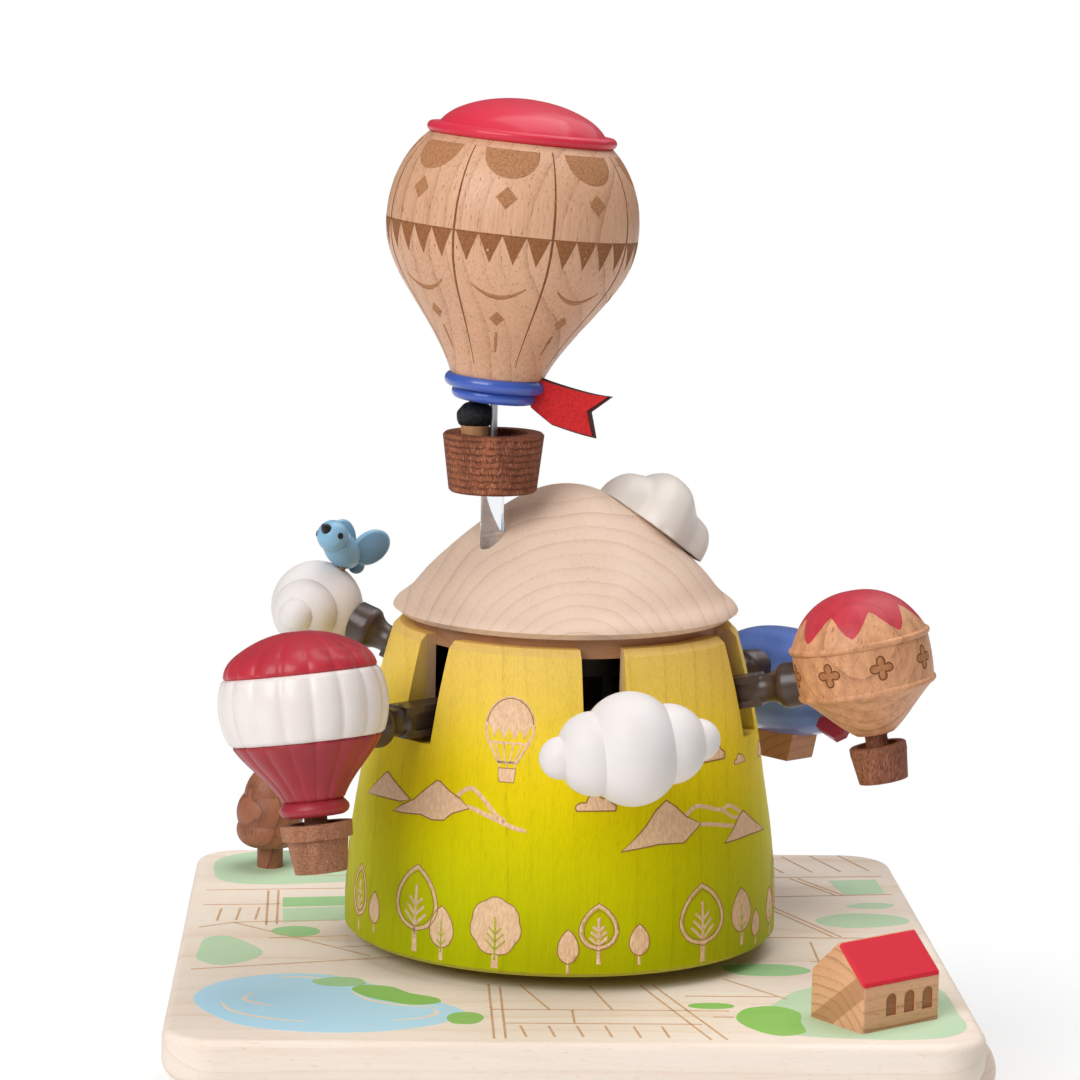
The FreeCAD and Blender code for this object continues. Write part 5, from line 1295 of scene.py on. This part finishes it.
# Arms
# Six arms moulded in dark brown plastic. Each has a round tail that slides over the
# ring, an ear at the pivot and a turned neck that is glued into what it carries.
arm_plastic = plastic("brown_plastic", tint(60, 42, 34), roughness=0.32, coat=0.3, mottled=4.0)
lowest_tilt = -1.0
arm_axes = {}
for joint in frame["joints"]:
    if joint["name"].endswith("_lift"):
        arm = joint["name"].removesuffix("_lift")
        dress(arm, arm_plastic)
        pivot = Vector(joint["pos_m"])
        outward = Vector((pivot.x, pivot.y, 0)).normalized()
        raised = math.radians(lowest_tilt - joint["range_deg"][0])
        up = Vector((0, 0, 1))
        along_arm = outward * math.cos(raised) + up * math.sin(raised)
        over_arm = up * math.cos(raised) - outward * math.sin(raised)
        aside = over_arm.cross(along_arm)
        axes = Matrix((along_arm, aside, over_arm)).transposed().to_4x4()
        arm_axes[arm.removesuffix("_arm")] = (Matrix.Translation(pivot) @ axes, joint["child"])


# Clouds
# Turned from beech as a row of rounded beads and sprayed white. The front and rear
# ones are pure white, and the small one under the bird is a warmer white.
cloud_white = paint("cloud_white", tint(238, 232, 230), gloss=0.5, coat=0.12, uneven=0.4, relief_depth=0.03,
                    along=(1, 0, 0), deep=tint(226, 214, 210))
warm_white = paint("warm_white", tint(240, 234, 231), gloss=0.46, coat=0.15, uneven=0.5, relief_depth=0.03,
                   along=(1, 0, 0), deep=tint(226, 214, 210))
dress("front_cloud", cloud_white)
dress("rear_cloud", cloud_white)
dress("bird_cloud", warm_white)


# Wooden balloon
# Turned from one block of beech with two beads, and figured with darker flecks. Its
# crown is painted red, and the paint ends below in pointed tips. Four-petalled
# flowers are engraved between the beads. The basket is a coarse reddish wood.
wooden_matrix, wooden_body = arm_axes["wooden_balloon"]
wooden_frame = wooden_matrix @ Matrix.Translation(Vector((52.7, 0, 4.5)) * mm)
wooden_radius = 16.2
tip_count = 8
tip_start = 0.3
tip_low = 5.6
tip_high = 11.0
flower_count = 8
first_flower = -16


def capped_wood(name, matrix):
    finish = Finish(name)
    late_wood, fibres, flecks = grain(finish, (80, 40, 90), (0.3, 0.4, 1), 3.2, 1.4)[:3]
    spot = finish.place_from(*axes_of(matrix))
    mottled = finish.cloudy(spot * (1.0, 1.0, 0.5), 2.2, 4.0, 0.6)
    share = late_wood * 0.5 + (fibres - 0.5) * 0.4 + flecks * 0.5 + (mottled - 0.5) * 0.9 + 0.35
    bare = finish.between(tint(232, 172, 128), tint(152, 92, 54), share.fade(0.0, 1.1))
    height = spot.dot((0, 0, 1))
    turn = spot.dot((0, 1, 0)).call("ARCTAN2", spot.dot((1, 0, 0)))
    tips_passed = turn * (tip_count / (2 * math.pi)) + tip_start + tip_count
    from_tip = (tips_passed % 1.0 - 0.5).call("ABSOLUTE") * 2.0
    edge = tip_low + from_tip.fade(-0.12, 1.12) * (tip_high - tip_low)
    ragged = (finish.cloudy(spot, 0.6, 2.0) - 0.5) * 0.3
    painted = (height + ragged - edge).fade(-0.06, 0.06)
    late_red = finish.between(tint(206, 60, 74), tint(170, 36, 50), share.fade(0.0, 1.2))
    colour = finish.between(bare, late_red, painted)
    relief = fibres * 0.5 + late_wood * 0.3 - flecks * 0.2 + painted * 0.8
    return finish.skin(colour, fibres * 0.15 + 0.4, relief, 0.05, Coat_Weight=0.12, Coat_Roughness=0.3,
                       Specular_IOR_Level=0.3)


dress("wooden_balloon", capped_wood("wooden_balloon_beech", wooden_frame))
wooden_skin = skin_of("wooden_balloon")
wooden_stance = (wooden_frame, wooden_radius)
flowers = []
flower_edges = []
petals = [(0.95 + 1.75 * abs(math.cos(2 * a)) ** 0.85, a) for a in round_steps(48)]
petal_outline = [(radius * math.sin(a), radius * math.cos(a) - 1.7) for radius, a in petals]
for flower in range(flower_count):
    middle = first_flower + 360 / flower_count * flower
    placed = on_round(wooden_skin, wooden_stance, middle, petal_outline, -1.6)
    flowers.append([placed])
    flower_edges += line(placed, 0.3, closed=True)
flower_scorch = scorch("flower_scorch", tint(192, 134, 92), tint(160, 104, 66))
flower_edge = scorch("flower_edge", tint(128, 78, 46), tint(96, 56, 32), size=0.5)
for name, shapes, lift, material in (("wooden_balloon_flowers", flowers, 0.03, flower_scorch),
                                     ("wooden_balloon_flower_edges", flower_edges, 0.04, flower_edge)):
    engraved(name, shapes, wooden_skin, wooden_stance, lift, material, wooden_body, 1.2)
small_basket_wood = open_grain("small_basket_wood", tint(166, 104, 78), tint(96, 54, 38), tint(206, 158, 130),
                               (40, 60, 10))
dress("wooden_balloon_basket", small_basket_wood)


# Airship
# The hull is turned along its length and lacquered blue, with the lathe's fine
# ridges still to be felt. Dark red fins are let into slots. The cabin is beech.
airship_frame = arm_axes["airship"][0] @ Matrix.Translation(Vector((55.3, 0, -4.2)) * mm)


def ridged_paint(name, colour, deep, matrix, ridges):
    finish = Finish(name)
    spot = finish.place_from(*axes_of(matrix))
    turn = spot.dot((0, 0, 1)).call("ARCTAN2", spot.dot((1, 0, 0)))
    ridge = (turn * ridges).call("SINE") * 0.5 + 0.5
    dust = finish.cloudy(spot, 0.5, 2.0).fade(0.6, 0.8)
    drift = finish.cloudy(spot, 10.0, 3.0)
    shade = finish.between(colour, deep, drift.fade(0.3, 0.8) * 0.5 + ridge * 0.25)
    return finish.skin(shade, drift * 0.1 + dust * 0.08 + 0.24, ridge * 0.7 + dust * 0.1 + drift * 0.3, 0.12,
                       Coat_Weight=0.5, Coat_Roughness=0.12)


dress("airship_hull", ridged_paint("hull_blue", tint(104, 136, 218), tint(66, 92, 172), airship_frame, 16.0))
dress("airship_fins", paint("fin_red", tint(150, 34, 50), gloss=0.35, coat=0.4, uneven=0.6,
                            relief_depth=0.04))
dress("airship_gondola", wood("cabin_beech", (70, 60, 80), (0.4, 1, 0), 2.6, tint(196, 138, 98),
                              tint(140, 88, 56), rings=0.6, lines=0.5, gloss=0.5, wander=1.0, coat=0.1))


# Bird
# A small bird assembled from turned beads and two pressed wings, in light blue
# lacquer. Its tail and the faces of its wings are blue-grey, its beak and eyes black.
# A brown peg holds it on its cloud.
bird_matrix, bird_body = arm_axes["bird"]
bird_frame = (bird_matrix @ Matrix.Translation(Vector((45.3, 0, 14.0)) * mm)
              @ Matrix.Rotation(math.radians(24.5), 4, "Y") @ Matrix.Rotation(math.radians(80.0), 4, "Z"))
bird_blue = paint("bird_blue", tint(140, 190, 222), gloss=0.34, coat=0.35, uneven=0.4, relief_depth=0.02,
                  along=(1, 0, 0), deep=tint(112, 160, 196))
bird_slate = paint("bird_slate", tint(118, 164, 198), gloss=0.42, coat=0.2, uneven=0.5, relief_depth=0.02,
                   along=(1, 0, 0), deep=tint(92, 134, 168))
bird_black = plastic("bird_black", tint(18, 18, 20), roughness=0.3)


def bird_part(name, shape, matrix, offset, finish):
    slot = "black_hair" if finish == bird_black else "light_blue_paint"
    return add_piece("bird_" + name, set_in(shape, matrix, offset), finish, bird_body)


def at_rise(degrees):
    """A direction ahead of the bird and up by some degrees."""
    return Vector((math.cos(math.radians(degrees)), 0, math.sin(math.radians(degrees))))


head_middle = Vector((4.4, 0, 3.9))
gaze = at_rise(34)
collar = [(-0.5, 2.9), (-0.5, 3.5), (-0.2, 3.68), (0.2, 3.68), (0.5, 3.45), (0.5, 2.8)]
beak = [(-0.6, 0.0), (-0.6, 1.35), (0.3, 1.2), (1.35, 0.62), (1.6, 0.35), (1.7, 0.0)]
torso = bird_part("torso", turned_bead(egg_profile(3.95, 12.8, 2.3), at_rise(32)), bird_frame, (0, 0, 0),
                  bird_blue)
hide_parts("bird")
for name, profile, way, middle, finish in (
        ("head", egg_profile(3.85, 7.7), gaze, head_middle, bird_blue),
        ("collar", collar, (0.72, 0, 0.7), (2.5, 0, 2.1), bird_blue),
        ("beak", beak, gaze, head_middle + gaze * 3.85, bird_black),
        ("tail", egg_profile(2.05, 4.1), (1, 0, 0.5), (-6.6, 0, -4.6), bird_slate)):
    bird_part(name, turned_bead(profile, way), bird_frame, middle, finish)
wing_rim = [(-0.68, 0.0), (-0.68, 0.9), (-0.4, 0.985), (0.0, 1.0), (0.4, 0.985), (0.68, 0.9), (0.68, 0.0)]
wing_radius = 5.3
wing_narrow = 0.8
wing_reach = -3.8
wing_sides = 56
for side, side_name, spread, pitch, sweep in ((1, "left", 78, 24, 36), (-1, "right", 62, 48, 10)):
    sight = Matrix.Rotation(math.radians(side * 60), 3, "Z") @ at_rise(8)
    bird_part("eye_" + side_name, turned_bead(egg_profile(0.8, 0.6, 2.0, 10), sight, 16), bird_frame,
              head_middle + sight * 3.78, bird_black)
    wing_frame = bird_frame @ Matrix.Translation(Vector((-2.6, side * 2.6, -1.2)) * mm)
    for degrees, axis in ((-side * sweep, "Z"), (pitch, "Y"), (side * spread, "X")):
        wing_frame = wing_frame @ Matrix.Rotation(math.radians(degrees), 4, axis)
    wing = turned_bead([(along, share * wing_radius) for along, share in wing_rim], (0, 0, 1), wing_sides)
    wing.transform(Matrix.Diagonal((1.0, wing_narrow, 1.0, 1.0)))
    bird_part("wing_" + side_name, wing, wing_frame, (wing_reach, 0, 0), bird_blue)
    for outward in (1, -1):
        face = turned_bead([(0.0, 4.65), (0.03, 4.6), (0.04, 0.0)], (0, 0, 1), wing_sides)
        face.transform(Matrix.Diagonal((1.0, wing_narrow, outward, 1.0)))
        face_name = "wing_%s_face_%s" % (side_name, "outer" if outward * side < 0 else "inner")
        bird_part(face_name, face, wing_frame, (wing_reach, 0, outward * 0.67), bird_slate)
peg = turned_bead([(-12.6, 0.0), (-12.6, 0.85), (-12.2, 0.98), (-1.5, 0.98), (-1.2, 0.0)], (0, 0, 1), 24)
peg_frame = bird_matrix @ Matrix.Translation(Vector((43.6, 0, 15.4)) * mm)
peg_wood = wood("peg_wood", (0, 0, 0), (0, 0, 1), 1.4, tint(150, 112, 88), tint(104, 72, 52), rings=0.6,
                lines=0.5, gloss=0.55)
bird_part("peg", peg, peg_frame, (0, 0, 0), peg_wood)


# Striped balloon
# Three turned and fluted pieces, red, cream and red, glued into one balloon with a
# fine joint between them and a round bead at the neck. The basket is open-grained.
striped_matrix, striped_body = arm_axes["striped_balloon"]
striped_frame = (striped_matrix @ Matrix.Rotation(math.radians(11.0), 4, "X")
                 @ Matrix.Translation(Vector((56.3, 0, 6.7)) * mm))
striped_radius = 19.1
flute_count = 17
flute_depth = 0.035
flute_sides = 12 * flute_count
flute_steps = 26
joint_round = 0.5
crown_level = 10


def fluted(node, low, high):
    """Fluted piece of the balloon between two heights, with the turned outline of its plain one."""
    skin = skin_of(node)
    shape = bmesh.new()
    rings = []
    for i in range(flute_steps + 1):
        height = low + (high - low) * i / flute_steps
        inside = min(max(height, low + 0.05), high - 0.05)
        near = min(height - low, high - height) if high < crown_level else height - low
        radius = radius_at(skin, (striped_frame, striped_radius), inside) - max(0.0, joint_round - near) * 0.9
        ring = []
        for angle in round_steps(flute_sides):
            lobe = (angle * flute_count / (2 * math.pi) + 0.25) % 1.0
            reach = radius * (1 - (abs(lobe - 0.5) * 2) ** 2.4 * flute_depth)
            ring.append(shape.verts.new((reach * math.cos(angle), reach * math.sin(angle), height)))
        rings.append(ring)
    join_rings(shape, rings)
    shape.faces.new(list(reversed(rings[0])))
    shape.faces.new(rings[-1])
    return shape


striped_red = paint("striped_red", tint(198, 50, 64), gloss=0.36, coat=0.2, uneven=0.5, relief_depth=0.04,
                    along=(0, 0, 1), deep=tint(140, 30, 44))
striped_cream = paint("striped_cream", tint(243, 234, 230), gloss=0.36, coat=0.35, uneven=0.5,
                      relief_depth=0.04, along=(0, 0, 1), deep=tint(222, 204, 196))
# The cone and the neck bead are the cap's red painted darker: painted shade on the underside of the balloon.
cone_red_painted_shade = paint("cone_red_painted_shade", tint(170, 46, 56), gloss=0.38, coat=0.15, uneven=0.5, relief_depth=0.04,
                 along=(0, 0, 1), deep=tint(112, 30, 38))
stripe_parts = (("striped_balloon_cap", 7.1, 16.35, striped_red, "red_paint"),
                ("striped_balloon_band", -7.8, 7.1, striped_cream, "white_paint"),
                ("striped_balloon_cone", -21.5, -7.8, cone_red_painted_shade, "red_paint"))
for node, low, high, material, slot in stripe_parts:
    stripe = add_piece("fluted_" + node.removeprefix("striped_balloon_"),
                       set_in(fluted(node, low, high), striped_frame), material, striped_body)
    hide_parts(node)
neck_bead = turned_bead([(-24.85, 0.0), (-24.85, 6.6), (-24.4, 7.4), (-23.6, 7.85), (-22.8, 7.8),
                         (-22.0, 7.2), (-21.4, 6.7), (-21.4, 0.0)], (0, 0, 1), 72)
add_piece("striped_neck_bead", set_in(neck_bead, striped_frame), cone_red_painted_shade, striped_body)
striped_basket_wood = open_grain("striped_basket_wood", tint(192, 132, 98), tint(116, 68, 46),
                                 tint(230, 184, 148), (20, 80, 30), squeeze=1.0)
dress("striped_balloon_basket", striped_basket_wood)
